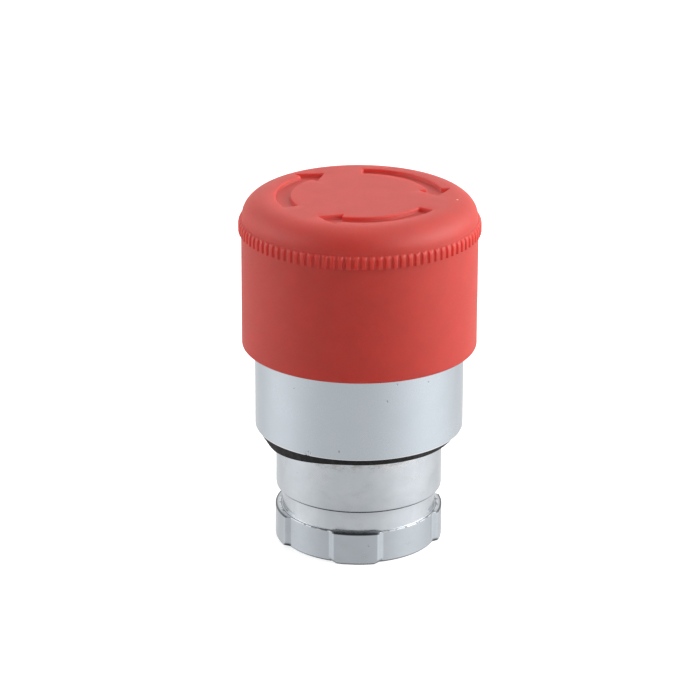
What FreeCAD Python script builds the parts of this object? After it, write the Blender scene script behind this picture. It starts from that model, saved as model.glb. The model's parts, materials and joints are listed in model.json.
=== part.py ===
import FreeCAD, Part
import math
import os
import types

import Sketcher

# Operating head of a 22 mm turn-to-release emergency stop button.
# Origin: on the axis, where the gasket's underside meets the front of the panel.
# +Z runs along the axis towards the cap. Millimetres and degrees.

DRIVING_SIZES = {
    # barrel that passes through the panel, and the bayonet ring below it
    "barrel_radius": 11.0,
    "barrel_length": 7.72,
    "barrel_chamfer": 0.2,
    "undercut_radius": 10.7,
    "neck_radius": 10.2,
    "ring_top_drop": 10.7,
    "ring_height": 4.35,
    "band_radius": 10.5,
    "lug_radius": 11.1,
    "lug_root_radius": 9.8,
    "lug_half_angle": 19.6,
    "key_lug_half_angle": 34.2,
    "lug_flank_angle": 4.6,
    # casting inside the bezel
    "flange_radius": 12.91,
    "flange_top": 3.9,
    "collar_radius": 10.6,
    "collar_top": 21.9,
    "sleeve_bore": 9.0,
    "spring_bore": 8.4,
    "stop_lip_bore": 7.0,
    "stop_lip_bottom": 17.4,
    "stop_lip_top": 18.4,
    "seal_pocket": 9.2,
    # gasket
    "gasket_thickness": 0.9,
    "gasket_inner": 11.5,
    "gasket_outer": 13.15,
    # bezel
    "bezel_radius": 13.75,
    "bezel_wall": 0.8,
    "bezel_top": 23.4,
    "bezel_edge": 0.08,
    "bezel_top_edge": 0.4,
    "snap_groove_depth": 0.35,
    "snap_groove_height": 1.1,
    "snap_wire": 0.45,
    "oring_groove_bottom": 1.8,
    "oring_groove_height": 1.0,
    "oring_groove_radius": 12.1,
    "oring_section": 0.37,
    # guide sleeve, its circlip and pins
    "sleeve_radius": 8.95,
    "sleeve_bottom_drop": 6.6,
    "sleeve_top": 6.4,
    "guide_bore": 6.0,
    "key_slot_width": 2.2,
    "key_slot_radius": 7.3,
    "key_slot_top": 1.6,
    "circlip_thickness": 0.8,
    "circlip_groove_height": 0.9,
    "circlip_groove_radius": 9.5,
    "circlip_outer": 9.45,
    "circlip_inner": 8.2,
    "circlip_gap_angle": 28.0,
    "circlip_ear": 0.95,
    "circlip_ear_hole": 0.45,
    "pin_radius": 0.58,
    "pin_hole_radius": 0.6,
    "pin_height": 5.15,
    "pin_inner": 7.6,
    "hole_overrun": 1.0,
    # latch clip
    "clip_wire": 0.5,
    "clip_height": 3.4,
    "clip_leg_offset": 6.12,
    "clip_leg_end": 5.2,
    "clip_bend_centre": 1.9,
    "clip_slot_inner": 5.4,
    "clip_slot_outer": 7.2,
    "clip_slot_height": 1.2,
    # travel and turn
    "push_travel": 4.5,
    "turn_angle": 45.0,
    # plunger
    "plunger_radius": 5.95,
    "plunger_top": 1.4,
    "plunger_bottom_drop": 8,
    "plunger_floor_drop": 4.6,
    "plunger_bore": 3.65,
    "chamber_radius": 5.1,
    "key_width": 2.0,
    "key_sink": 0.4,
    "key_radius": 7.0,
    "key_bottom_drop": 6.1,
    "key_top": 1.2,
    "notch_depth": 1.6,
    "notch_overrun": 0.3,
    "dowel_radius": 0.9,
    "dowel_length": 0.9,
    "dowel_offset": 4.75,
    # actuator foot
    "foot_radius": 8.0,
    "foot_disc": 1.0,
    "foot_pad_drop": 10.4,
    "foot_pad_inner": 5.9,
    "foot_pad_half_angle": 38.0,
    "foot_bore": 3.7,
    "foot_hole": 0.95,
    # spindle
    "spindle_radius": 3.6,
    "spindle_bottom_drop": 10.1,
    "clip_groove_radius": 3.2,
    "screw_bore": 2.7,
    "screw_seat": 14.4,
    "shank_bore": 1.65,
    "cam_radius": 5.6,
    "cam_bottom": 1.9,
    "cam_top": 9.9,
    "cam_flat": 4.6,
    "cam_lead": 0.5,
    "shaft_radius": 4.6,
    "collar_disc_radius": 8.0,
    "collar_disc_bottom": 15.4,
    "collar_disc_top": 16.9,
    "seal_land_radius": 6.2,
    "spindle_top": 24.6,
    "stop_peg_inner": 5.15,
    "stop_peg_half_angle": 8.0,
    "stop_peg_length": 1.8,
    "stop_clearance_angle": 1.5,
    "dog_inner": 3.4,
    "dog_outer": 5.2,
    "dog_half_width": 1.2,
    "dog_height": 1.8,
    "dog_clearance": 0.1,
    # washers and small rings
    "washer_thickness": 0.5,
    "foot_washer_thickness": 0.3,
    "foot_washer_outer": 5.2,
    "thrust_washer_outer": 5.0,
    "spring_washer_inner": 4.8,
    "stop_washer_inner": 6.3,
    "spindle_clip_outer": 4.9,
    "spindle_clip_thickness": 0.5,
    "spindle_clip_gap_angle": 32.0,
    # springs
    "return_wire": 0.45,
    "return_mean_radius": 7.35,
    "return_turns": 3.0,
    "torsion_wire": 0.3,
    "torsion_mean_radius": 4.4,
    "torsion_turns": 5.0,
    "torsion_bottom_drop": 4.2,
    "torsion_top": 0.9,
    # seal and its retainer
    "seal_top": 20.8,
    "seal_base": 0.8,
    "seal_setback": 0.1,
    "seal_root": 1.2,
    "seal_lip_thickness": 0.4,
    "seal_lip_height": 0.6,
    "seal_lip": 6.25,
    "seal_wall_inner": 8.3,
    "retainer_thickness": 0.8,
    "retainer_inner": 7.3,
    # cap
    "skirt_radius": 15.44,
    "skirt_bottom": 12.26,
    "skirt_edge": 0.2,
    "skirt_bore": 14.0,
    "rim_radius": 15.83,
    "rim_bottom": 27.8,
    "rim_height": 1.66,
    "rim_rib_crest": 1.07,
    "rim_rib_foot": 1.35,
    "rim_rib_start": 2.08,
    "rim_rib_sink": 0.3,
    "dome_base_radius": 15.35,
    "dome_base": 29.77,
    "dome_curve": 3.3,
    "top_flat_radius": 11.9,
    "cap_top": 32.5,
    "ceiling": 29.9,
    "ceiling_curve": 2.0,
    "hub_radius": 5.5,
    "stiffener_depth": 1.2,
    "stiffener_half_width": 0.5,
    "stiffener_end": 13.0,
    "stiffener_sink": 0.4,
    "arrow_depth": 0.55,
    "arrow_inner": 9.0,
    "arrow_outer": 11.0,
    "arrow_tip_radius": 10.1,
    "arrow_barb_inner": 7.95,
    "arrow_barb_outer": 12.2,
    "arrow_head_angle": 17.0,
    "arrow_tail_angle": 90.0,
    # threaded insert and screw
    "insert_radius": 2.6,
    "insert_length": 4.5,
    "insert_bore": 1.5,
    "insert_waist_depth": 0.25,
    "insert_waist_height": 0.8,
    "screw_radius": 1.46,
    "screw_length": 13.9,
    "screw_head_radius": 2.5,
    "screw_head_height": 2.4,
    "screw_socket": 1.25,
    "screw_socket_depth": 1.3,
    "screw_point": 0.4,
    "split_width": 0.3,
}

RIM_RIBS = 98
ARROWS = 3
CEILING_STIFFENERS = 6
SLIP_FIT = 0.02

DOC = FreeCAD.newDocument("EmergencyStopHead")


class Size:
    """A number together with the sheet expression that drives it."""

    def __init__(self, value, text):
        self.value = value
        self.text = text

    def join(self, other, sign, value):
        return Size(value, "({} {} {})".format(self.text, sign, as_size(other).text))

    def __add__(self, other):
        return self.join(other, "+", self.value + as_size(other).value)

    def __radd__(self, other):
        return as_size(other) + self

    def __sub__(self, other):
        return self.join(other, "-", self.value - as_size(other).value)

    def __rsub__(self, other):
        return as_size(other) - self

    def __mul__(self, other):
        return self.join(other, "*", self.value * as_size(other).value)

    def __rmul__(self, other):
        return as_size(other) * self

    def __truediv__(self, other):
        return self.join(other, "/", self.value / as_size(other).value)

    def __neg__(self):
        return Size(-self.value, "(0 - {})".format(self.text))


def as_size(item):
    """The item itself if it is a Size, or a plain number as one."""
    return item if isinstance(item, Size) else Size(float(item), "{:.6g}".format(item))


def polar(radius, angle):
    """The point at a radius and an angle in degrees, as two sizes."""
    radius = as_size(radius)
    angle = as_size(angle)
    turn = math.radians(angle.value)
    across = Size(radius.value * math.cos(turn), "({} * cos({}))".format(radius.text, angle.text))
    along = Size(radius.value * math.sin(turn), "({} * sin({}))".format(radius.text, angle.text))
    return across, along


def make_sheet():
    """Spreadsheet of driving sizes; returns them as Size values under the same names."""
    sheet = DOC.addObject("Spreadsheet::Sheet", "Sizes")
    for row, (alias, value) in enumerate(DRIVING_SIZES.items(), start=1):
        sheet.set("A{}".format(row), alias)
        sheet.set("B{}".format(row), str(value))
        sheet.setAlias("B{}".format(row), alias)
    DOC.recompute()
    named = {alias: Size(value, "Sizes." + alias) for alias, value in DRIVING_SIZES.items()}
    return types.SimpleNamespace(**named)


# ---------------------------------------------------------------- sketch and body helpers


def new_body(label):
    body = DOC.addObject("PartDesign::Body", label)
    body.Label = label
    return body


def origin_feature(body, role):
    """One of the body's own origin planes or axes, such as XY_Plane."""
    return next(item for item in body.Origin.OriginFeatures if item.Role == role)


def new_sketch(body, name, plane="XY_Plane", offset=0.0):
    """Sketch on one of the body's origin planes, moved along its normal by the offset."""
    sketch = body.newObject("Sketcher::SketchObject", name)
    sketch.AttachmentSupport = [(origin_feature(body, plane), "")]
    sketch.MapMode = "FlatFace"
    sketch.setExpression("AttachmentOffset.Base.z", as_size(offset).text)
    return sketch


def bind(sketch, kind, arguments, size):
    """Adds a driven dimension to the sketch and ties it to its sheet expression."""
    index = sketch.addConstraint(Sketcher.Constraint(kind, *arguments, as_size(size).value))
    sketch.setExpression("Constraints[{}]".format(index), as_size(size).text)


def pin_point(sketch, edge, end, across, along):
    """Places one end (or centre) of an edge by its distances from the sketch's origin."""
    for kind, size, axis in (("DistanceX", across, -2), ("DistanceY", along, -1)):
        if abs(as_size(size).value) < 1e-9:
            sketch.addConstraint(Sketcher.Constraint("PointOnObject", edge, end, axis))
        else:
            bind(sketch, kind, (-1, 1, edge, end), size)


def arc_between(start, end, radius, side):
    """The shorter arc between two points; side +1 bulges to the right of the way, -1 to the left."""
    chord = end - start
    middle = (start + end) * 0.5
    reach = math.sqrt(max(radius**2 - (chord.Length / 2) ** 2, 0.0))
    left = FreeCAD.Vector(-chord.y, chord.x, 0).normalize()
    centre = middle + left * (reach * side)
    circle = Part.Circle(centre, FreeCAD.Vector(0, 0, 1), radius)
    first = math.atan2(start.y - centre.y, start.x - centre.x)
    last = math.atan2(end.y - centre.y, end.x - centre.x)
    if side < 0:
        first, last = last, first
    if last < first:
        last += 2 * math.pi
    return Part.ArcOfCircle(circle, first, last)


def draw_outline(sketch, corners):
    """Closed outline. A corner is (across, along), or (across, along, radius, side) where the
    edge that leaves it is an arc."""
    count = len(corners)
    ends = []
    points = [FreeCAD.Vector(as_size(c[0]).value, as_size(c[1]).value, 0) for c in corners]
    for index, corner in enumerate(corners):
        start = points[index]
        end = points[(index + 1) % count]
        if len(corner) == 4:
            radius, side = corner[2], corner[3]
            edge = sketch.addGeometry(arc_between(start, end, as_size(radius).value, side))
            ends.append((edge, 1, 2) if side > 0 else (edge, 2, 1))
            bind(sketch, "Radius", (edge,), radius)
        else:
            edge = sketch.addGeometry(Part.LineSegment(start, end))
            ends.append((edge, 1, 2))
    for index, corner in enumerate(corners):
        edge, begin, _ = ends[index]
        before, _, finish = ends[index - 1]
        sketch.addConstraint(Sketcher.Constraint("Coincident", before, finish, edge, begin))
        pin_point(sketch, edge, begin, corner[0], corner[1])


def draw_circle(sketch, across, along, radius):
    centre = FreeCAD.Vector(as_size(across).value, as_size(along).value, 0)
    up = FreeCAD.Vector(0, 0, 1)
    edge = sketch.addGeometry(Part.Circle(centre, up, as_size(radius).value))
    pin_point(sketch, edge, 3, across, along)
    bind(sketch, "Radius", (edge,), radius)


def box_corners(low_x, high_x, low_y, high_y):
    return [(low_x, low_y), (high_x, low_y), (high_x, high_y), (low_x, high_y)]


def sector_corners(inner, outer, start, end):
    """Ring sector from the start angle to the end angle, counter-clockwise."""
    return [
        polar(inner, start),
        polar(outer, start) + (outer, 1),
        polar(outer, end),
        polar(inner, end) + (inner, -1),
    ]


def pad(body, sketch, length, midplane=False, name="Pad"):
    feature = body.newObject("PartDesign::Pad", name)
    feature.Profile = sketch
    feature.setExpression("Length", as_size(length).text)
    feature.Midplane = midplane
    sketch.Visibility = False
    body.Tip = feature
    return feature


def pocket(body, sketch, length, midplane=False, reversed_way=False, name="Pocket"):
    """Cuts along the sketch's far side, or the near side if reversed, and proves that it cut."""
    DOC.recompute()
    before = body.Shape.Volume
    feature = body.newObject("PartDesign::Pocket", name)
    feature.Profile = sketch
    feature.setExpression("Length", as_size(length).text)
    feature.Midplane = midplane
    feature.Reversed = reversed_way
    body.Tip = feature
    DOC.recompute()
    if body.Shape.Volume > before - 1e-4:
        raise RuntimeError("{} in {} cuts nothing".format(name, body.Label))
    return feature


def revolve(body, sketch, angle=360.0, name="Revolution"):
    feature = body.newObject("PartDesign::Revolution", name)
    feature.Profile = sketch
    feature.ReferenceAxis = (sketch, ["V_Axis"])
    feature.Angle = angle
    body.Tip = feature
    return feature


def repeat_around(body, features, count, name="PolarPattern"):
    pattern = body.newObject("PartDesign::PolarPattern", name)
    pattern.Originals = features
    pattern.Axis = (origin_feature(body, "Z_Axis"), [""])
    pattern.Angle = 360.0
    pattern.Occurrences = count
    body.Tip = pattern
    return pattern


def turned_piece(label, corners):
    """Body turned about Z from one closed outline of (radius, height) corners."""
    body = new_body(label)
    sketch = new_sketch(body, label + "_profile", "XZ_Plane")
    draw_outline(sketch, corners)
    revolve(body, sketch)
    return body


def washer(label, inner, outer, bottom, top):
    return turned_piece(label, box_corners(inner, outer, bottom, top))


def wire_ring(label, mean_radius, section, height, angle=360.0, start=0.0):
    """Round-section ring; less than 360 degrees leaves it open, from the start angle."""
    body = new_body(label)
    sketch = new_sketch(body, label + "_section", "XZ_Plane")
    draw_circle(sketch, mean_radius, height, section)
    revolve(body, sketch, angle)
    body.Placement = FreeCAD.Placement(
        FreeCAD.Vector(), FreeCAD.Rotation(FreeCAD.Vector(0, 0, 1), start)
    )
    return body


def coil_spring(label, mean_radius, wire, bottom, top, turns):
    """Helix of round wire whose outside runs from bottom to top."""
    body = new_body(label)
    sketch = new_sketch(body, label + "_section", "XZ_Plane")
    draw_circle(sketch, mean_radius, bottom + wire, wire)
    rise = top - bottom - 2.0 * wire
    helix = body.newObject("PartDesign::AdditiveHelix", label + "_helix")
    helix.Profile = sketch
    helix.ReferenceAxis = (sketch, ["V_Axis"])
    helix.Mode = "pitch-height-angle"
    helix.setExpression("Pitch", (rise / turns).text)
    helix.setExpression("Height", rise.text)
    body.Tip = helix
    return body


# ---------------------------------------------------------------- housing


def make_barrel_casting(d):
    """Die-cast barrel: bayonet ring, neck, panel barrel, flange and inner collar."""
    ring_top = -d.ring_top_drop
    ring_bottom = -d.ring_top_drop - d.ring_height
    shelf = -d.sleeve_bottom_drop
    groove_foot = shelf - d.circlip_groove_height
    groove_top = d.oring_groove_bottom + d.oring_groove_height
    body = turned_piece(
        "barrel_casting",
        [
            (d.sleeve_bore, ring_bottom),
            (d.band_radius, ring_bottom),
            (d.band_radius, ring_top),
            (d.neck_radius, ring_top),
            (d.neck_radius, -d.barrel_length),
            (d.barrel_radius - d.barrel_chamfer, -d.barrel_length),
            (d.barrel_radius, d.barrel_chamfer - d.barrel_length),
            (d.barrel_radius, 0.0),
            (d.undercut_radius, 0.0),
            (d.undercut_radius, d.gasket_thickness),
            (d.flange_radius, d.gasket_thickness),
            (d.flange_radius, d.oring_groove_bottom),
            (d.oring_groove_radius, d.oring_groove_bottom),
            (d.oring_groove_radius, groove_top),
            (d.flange_radius, groove_top),
            (d.flange_radius, d.flange_top),
            (d.collar_radius, d.flange_top),
            (d.collar_radius, d.collar_top),
            (d.seal_pocket, d.collar_top),
            (d.seal_pocket, d.stop_lip_top),
            (d.stop_lip_bore, d.stop_lip_top),
            (d.stop_lip_bore, d.stop_lip_bottom),
            (d.spring_bore, d.stop_lip_bottom),
            (d.spring_bore, d.sleeve_top),
            (d.sleeve_bore, d.sleeve_top),
            (d.sleeve_bore, shelf),
            (d.circlip_groove_radius, shelf),
            (d.circlip_groove_radius, groove_foot),
            (d.sleeve_bore, groove_foot),
        ],
    )
    for middle, half in lug_places(d):
        add_bayonet_lug(body, d, middle, half, ring_bottom)
    cut_pin_holes(body, d, 0.0, d.collar_radius + d.hole_overrun)
    return body


def lug_places(d):
    """Three equal lugs and the wide key lug, which is on the -X side."""
    equal = [(angle, d.lug_half_angle) for angle in (-90.0, 0.0, 90.0)]
    return equal + [(180.0, d.key_lug_half_angle)]


def add_bayonet_lug(body, d, middle, half, ring_bottom):
    """Lug as tall as the ring, with sloping flanks from the band up to its own radius."""
    name = "Lug_{}".format(int(middle) % 360)
    sketch = new_sketch(body, name + "_outline", "XY_Plane", ring_bottom)
    crest = half - d.lug_flank_angle
    draw_outline(
        sketch,
        [
            polar(d.lug_root_radius, middle - half),
            polar(d.band_radius, middle - half),
            polar(d.lug_radius, middle - crest) + (d.lug_radius, 1),
            polar(d.lug_radius, middle + crest),
            polar(d.band_radius, middle + half),
            polar(d.lug_root_radius, middle + half) + (d.lug_root_radius, -1),
        ],
    )
    pad(body, sketch, d.ring_height, name=name)


def cut_pin_holes(body, d, start, depth):
    """Two holes along the X axis for the locating pins, from a distance off the axis outward."""
    for side, reversed_way, way in (("Right", True, 1.0), ("Left", False, -1.0)):
        sketch = new_sketch(body, side + "_pin_hole", "YZ_Plane", way * start)
        draw_circle(sketch, 0.0, d.pin_height, d.pin_hole_radius)
        pocket(body, sketch, depth, reversed_way=reversed_way, name=side + "_hole")


def make_bezel_shell(d):
    """Polished sleeve round the casting, with an inner groove for its snap ring."""
    inner = d.bezel_radius - d.bezel_wall
    groove_top = d.flange_top + d.snap_groove_height
    return turned_piece(
        "bezel_shell",
        [
            (inner, d.gasket_thickness),
            (d.bezel_radius - d.bezel_edge, d.gasket_thickness, d.bezel_edge, 1),
            (d.bezel_radius, d.gasket_thickness + d.bezel_edge),
            (d.bezel_radius, d.bezel_top - d.bezel_top_edge, d.bezel_top_edge, 1),
            (d.bezel_radius - d.bezel_top_edge, d.bezel_top),
            (inner, d.bezel_top),
            (inner, groove_top),
            (inner + d.snap_groove_depth, groove_top),
            (inner + d.snap_groove_depth, d.flange_top),
            (inner, d.flange_top),
        ],
    )


def make_bezel_snap_ring(d):
    mean = d.bezel_radius - d.bezel_wall + d.snap_groove_depth - d.snap_wire - SLIP_FIT
    height = d.flange_top + d.snap_wire + SLIP_FIT
    return wire_ring("bezel_snap_ring", mean, d.snap_wire, height, 338.0, 11.0)


def make_bezel_o_ring(d):
    mean = d.oring_groove_radius + d.oring_section + SLIP_FIT
    height = d.oring_groove_bottom + d.oring_groove_height / 2.0
    return wire_ring("bezel_o_ring", mean, d.oring_section, height)


def make_panel_gasket(d):
    """Flat rubber ring between the bezel and the panel."""
    return washer("panel_gasket", d.gasket_inner, d.gasket_outer, 0.0, d.gasket_thickness)


def make_guide_sleeve(d):
    """Moulded sleeve that guides the plunger and holds the latch clip."""
    body = turned_piece(
        "guide_sleeve",
        box_corners(d.guide_bore, d.sleeve_radius, -d.sleeve_bottom_drop, d.sleeve_top),
    )
    slots = new_sketch(body, "key_slots", "XY_Plane", d.key_slot_top)
    half = d.key_slot_width / 2.0
    draw_outline(slots, box_corners(-half, half, -d.key_slot_radius, d.key_slot_radius))
    pocket(body, slots, d.key_slot_top + d.sleeve_bottom_drop, name="Key_slots")
    cut_clip_slot(body, d)
    cut_pin_holes(body, d, d.pin_inner - SLIP_FIT, d.sleeve_radius)
    return body


def cut_clip_slot(body, d):
    """U-shaped slot, open at both ends, in which the latch clip's legs can spread."""
    reach = d.sleeve_radius + d.hole_overrun
    sketch = new_sketch(body, "clip_slot", "XY_Plane", d.clip_height)
    draw_outline(
        sketch,
        [
            (d.clip_slot_outer, -reach),
            (d.clip_slot_outer, d.clip_bend_centre, d.clip_slot_outer, 1),
            (0.0, d.clip_bend_centre + d.clip_slot_outer, d.clip_slot_outer, 1),
            (-d.clip_slot_outer, d.clip_bend_centre),
            (-d.clip_slot_outer, -reach),
            (-d.clip_slot_inner, -reach),
            (-d.clip_slot_inner, d.clip_bend_centre, d.clip_slot_inner, -1),
            (0.0, d.clip_bend_centre + d.clip_slot_inner, d.clip_slot_inner, -1),
            (d.clip_slot_inner, d.clip_bend_centre),
            (d.clip_slot_inner, -reach),
        ],
    )
    pocket(body, sketch, d.clip_slot_height, midplane=True, name="Clip_slot")


def make_latch_clip(d):
    """Spring wire bent to a U; its legs drop into the spindle's flats when the cap is pressed."""
    body = new_body("latch_clip")
    path = new_sketch(body, "clip_path", "XY_Plane", d.clip_height)
    draw_clip_path(path, d)
    section = new_sketch(body, "clip_section", "XZ_Plane", d.clip_leg_end)
    draw_circle(section, d.clip_leg_offset, d.clip_height, d.clip_wire)
    pipe = body.newObject("PartDesign::AdditivePipe", "Clip_wire")
    pipe.Profile = section
    pipe.Spine = (path, ["Edge1", "Edge2", "Edge3", "Edge4"])
    body.Tip = pipe
    return body


def draw_clip_path(path, d):
    """Leg, bend in two quarter arcs, leg."""
    leg = d.clip_leg_offset
    bend = d.clip_bend_centre
    end = -d.clip_leg_end
    corners = [(leg, end), (leg, bend), (0.0, bend + leg), (-leg, bend), (-leg, end)]
    points = [FreeCAD.Vector(as_size(x).value, as_size(y).value, 0) for x, y in corners]
    path.addGeometry(Part.LineSegment(points[0], points[1]))
    path.addGeometry(arc_between(points[1], points[2], leg.value, 1))
    path.addGeometry(arc_between(points[2], points[3], leg.value, 1))
    path.addGeometry(Part.LineSegment(points[3], points[4]))
    for edge, (across, along) in enumerate(corners[:4]):
        pin_point(path, edge, 1, across, along)
    pin_point(path, 3, 2, *corners[4])
    for edge in range(3):
        path.addConstraint(Sketcher.Constraint("Coincident", edge, 2, edge + 1, 1))
    for edge in (1, 2):
        bind(path, "Radius", (edge,), leg)


def make_sleeve_circlip(d):
    """Internal circlip under the guide sleeve, with two eared ends."""
    body = new_body("sleeve_circlip")
    top = -d.sleeve_bottom_drop - (d.circlip_groove_height - d.circlip_thickness) / 2.0
    sketch = new_sketch(body, "ring_outline", "XY_Plane", top - d.circlip_thickness)
    start = d.circlip_gap_angle - 90.0
    middle = as_size(90.0)
    end = 270.0 - d.circlip_gap_angle
    draw_outline(
        sketch,
        [
            polar(d.circlip_inner, start),
            polar(d.circlip_outer, start) + (d.circlip_outer, 1),
            polar(d.circlip_outer, middle) + (d.circlip_outer, 1),
            polar(d.circlip_outer, end),
            polar(d.circlip_inner, end) + (d.circlip_inner, -1),
            polar(d.circlip_inner, middle) + (d.circlip_inner, -1),
        ],
    )
    pad(body, sketch, d.circlip_thickness, name="Ring")
    ears = new_sketch(body, "ears", "XY_Plane", top - d.circlip_thickness)
    holes = new_sketch(body, "ear_holes", "XY_Plane", top)
    for angle in (start, end):
        draw_circle(ears, *polar(d.circlip_inner, angle), d.circlip_ear)
        draw_circle(holes, *polar(d.circlip_inner, angle), d.circlip_ear_hole)
    pad(body, ears, d.circlip_thickness, name="Ears")
    pocket(body, holes, d.circlip_thickness, name="Ear_holes")
    return body


def make_locating_pins(d):
    """Two short dowels that stop the sleeve from turning in the casting."""
    pins = []
    length = d.collar_radius - d.pin_inner
    for number, turn in ((1, 90.0), (2, -90.0)):
        pin = DOC.addObject("Part::Cylinder", "locating_pin_{}".format(number))
        pin.setExpression("Radius", d.pin_radius.text)
        pin.setExpression("Height", length.text)
        side = 1.0 if turn > 0 else -1.0
        pin.Placement.Rotation = FreeCAD.Rotation(FreeCAD.Vector(0, 1, 0), turn)
        pin.setExpression("Placement.Base.x", (side * d.pin_inner).text)
        pin.setExpression("Placement.Base.z", d.pin_height.text)
        pins.append(pin)
    group = DOC.addObject("Part::Compound", "locating_pins")
    group.Links = pins
    group.Label = "locating_pins"
    return group


def make_return_spring(d):
    top = d.collar_disc_bottom - d.washer_thickness
    return coil_spring(
        "return_spring", d.return_mean_radius, d.return_wire, d.sleeve_top, top, d.return_turns
    )


def make_lip_seal(d):
    """Rubber seal in the top of the casting, whose lip wipes the spindle."""
    bottom = d.stop_lip_top
    base = bottom + d.seal_base
    outer = d.seal_pocket - SLIP_FIT
    return turned_piece(
        "lip_seal",
        [
            (d.stop_lip_bore + d.seal_setback, bottom),
            (outer, bottom),
            (outer, d.seal_top),
            (d.seal_wall_inner, d.seal_top),
            (d.seal_wall_inner, base),
            (d.seal_lip + d.seal_root, base),
            (d.seal_lip + d.seal_lip_thickness, base + d.seal_lip_height),
            (d.seal_lip, base + d.seal_lip_height - d.seal_setback),
            (d.seal_lip, base + d.seal_setback),
        ],
    )


def make_seal_retainer(d):
    outer = d.seal_pocket - SLIP_FIT
    return washer(
        "seal_retainer", d.retainer_inner, outer, d.seal_top, d.seal_top + d.retainer_thickness
    )


# ---------------------------------------------------------------- plunger, which only slides


def make_plunger(d):
    """Moulded tube keyed to the sleeve, with a chamber for the torsion spring."""
    bottom = -d.plunger_bottom_drop
    floor = -d.plunger_floor_drop
    body = turned_piece(
        "plunger",
        [
            (d.plunger_bore, bottom),
            (d.plunger_radius, bottom),
            (d.plunger_radius, d.plunger_top),
            (d.chamber_radius, d.plunger_top),
            (d.chamber_radius, floor),
            (d.plunger_bore, floor),
        ],
    )
    for side in (1.0, -1.0):
        keys = new_sketch(body, "key_outline", "XY_Plane", -d.key_bottom_drop)
        half = d.key_width / 2.0
        near, far = sorted(
            (side * (d.plunger_radius - d.key_sink), side * d.key_radius),
            key=lambda size: size.value,
        )
        draw_outline(keys, box_corners(-half, half, near, far))
        pad(body, keys, d.key_top + d.key_bottom_drop, name="Key")
    dowels = new_sketch(body, "dowels", "XY_Plane", bottom - d.dowel_length)
    for side in (1.0, -1.0):
        draw_circle(dowels, side * d.dowel_offset, 0.0, d.dowel_radius)
    pad(body, dowels, d.dowel_length, name="Dowels")
    cut_stop_notch(body, d)
    return body


def cut_stop_notch(body, d):
    """Gap in the tube's upper wall, in which the spindle's stop peg can turn."""
    sketch = new_sketch(body, "stop_notch", "XY_Plane", d.plunger_top)
    half = d.turn_angle / 2.0 + d.stop_peg_half_angle + d.stop_clearance_angle
    inner = d.chamber_radius - d.notch_overrun
    outer = d.plunger_radius + d.notch_overrun
    draw_outline(sketch, sector_corners(inner, outer, 180.0 - half, 180.0 + half))
    pocket(body, sketch, d.notch_depth, name="Stop_notch")


def make_actuator_foot(d):
    """Pusher under the plunger: a disc with two crescent pads that meet the contact blocks."""
    top = -d.plunger_bottom_drop
    disc_bottom = top - d.foot_disc
    body = washer("actuator_foot", d.foot_bore, d.foot_radius, disc_bottom, top)
    pads = new_sketch(body, "pads", "XY_Plane", -d.foot_pad_drop)
    half = d.foot_pad_half_angle
    for middle in (0.0, 180.0):
        corners = sector_corners(d.foot_pad_inner, d.foot_radius, middle - half, middle + half)
        draw_outline(pads, corners)
    pad(body, pads, d.foot_pad_drop + disc_bottom, name="Pads")
    holes = new_sketch(body, "dowel_holes", "XY_Plane", top)
    for side in (1.0, -1.0):
        draw_circle(holes, side * d.dowel_offset, 0.0, d.foot_hole)
    pocket(body, holes, d.foot_disc, name="Dowel_holes")
    return body


def make_torsion_spring(d):
    return coil_spring(
        "torsion_spring",
        d.torsion_mean_radius,
        d.torsion_wire,
        -d.torsion_bottom_drop,
        d.torsion_top,
        d.torsion_turns,
    )


def make_plunger_washers(d):
    """Thrust washer, spring seat washer and foot washer, which slide but don't turn."""
    inner = d.foot_bore
    foot_bottom = -d.plunger_bottom_drop - d.foot_disc
    spring_seat = d.collar_disc_bottom - d.washer_thickness
    return [
        washer("thrust_washer", inner, d.thrust_washer_outer, d.plunger_top, d.cam_bottom),
        washer(
            "spring_washer",
            d.spring_washer_inner,
            d.collar_disc_radius,
            spring_seat,
            d.collar_disc_bottom,
        ),
        washer(
            "foot_washer",
            inner,
            d.foot_washer_outer,
            foot_bottom - d.foot_washer_thickness,
            foot_bottom,
        ),
    ]


# ---------------------------------------------------------------- cap and spindle, which also turn


def spindle_clip_top(d):
    return -d.plunger_bottom_drop - d.foot_disc - d.foot_washer_thickness


def make_spindle(d):
    """Hollow spindle: cam with latch flats, spring collar, seal land and drive dogs."""
    bottom = -d.spindle_bottom_drop
    clip_top = spindle_clip_top(d)
    clip_bottom = clip_top - d.spindle_clip_thickness
    body = turned_piece(
        "spindle",
        [
            (d.screw_bore, bottom),
            (d.spindle_radius, bottom),
            (d.spindle_radius, clip_bottom),
            (d.clip_groove_radius, clip_bottom),
            (d.clip_groove_radius, clip_top),
            (d.spindle_radius, clip_top),
            (d.spindle_radius, d.cam_bottom),
            (d.cam_radius, d.cam_bottom),
            (d.cam_radius, d.cam_top - d.cam_lead),
            (d.cam_radius - d.cam_lead, d.cam_top),
            (d.shaft_radius, d.cam_top),
            (d.shaft_radius, d.collar_disc_bottom),
            (d.collar_disc_radius, d.collar_disc_bottom),
            (d.collar_disc_radius, d.collar_disc_top),
            (d.seal_land_radius, d.collar_disc_top),
            (d.seal_land_radius, d.spindle_top),
            (d.shank_bore, d.spindle_top),
            (d.shank_bore, d.screw_seat),
            (d.screw_bore, d.screw_seat),
        ],
    )
    cut_latch_flats(body, d)
    add_stop_peg(body, d)
    dogs = new_sketch(body, "dogs", "XY_Plane", d.spindle_top)
    half = d.dog_half_width
    draw_outline(dogs, box_corners(d.dog_inner, d.dog_outer, -half, half))
    draw_outline(dogs, box_corners(-d.dog_outer, -d.dog_inner, -half, half))
    pad(body, dogs, d.dog_height, name="Dogs")
    return body


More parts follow.
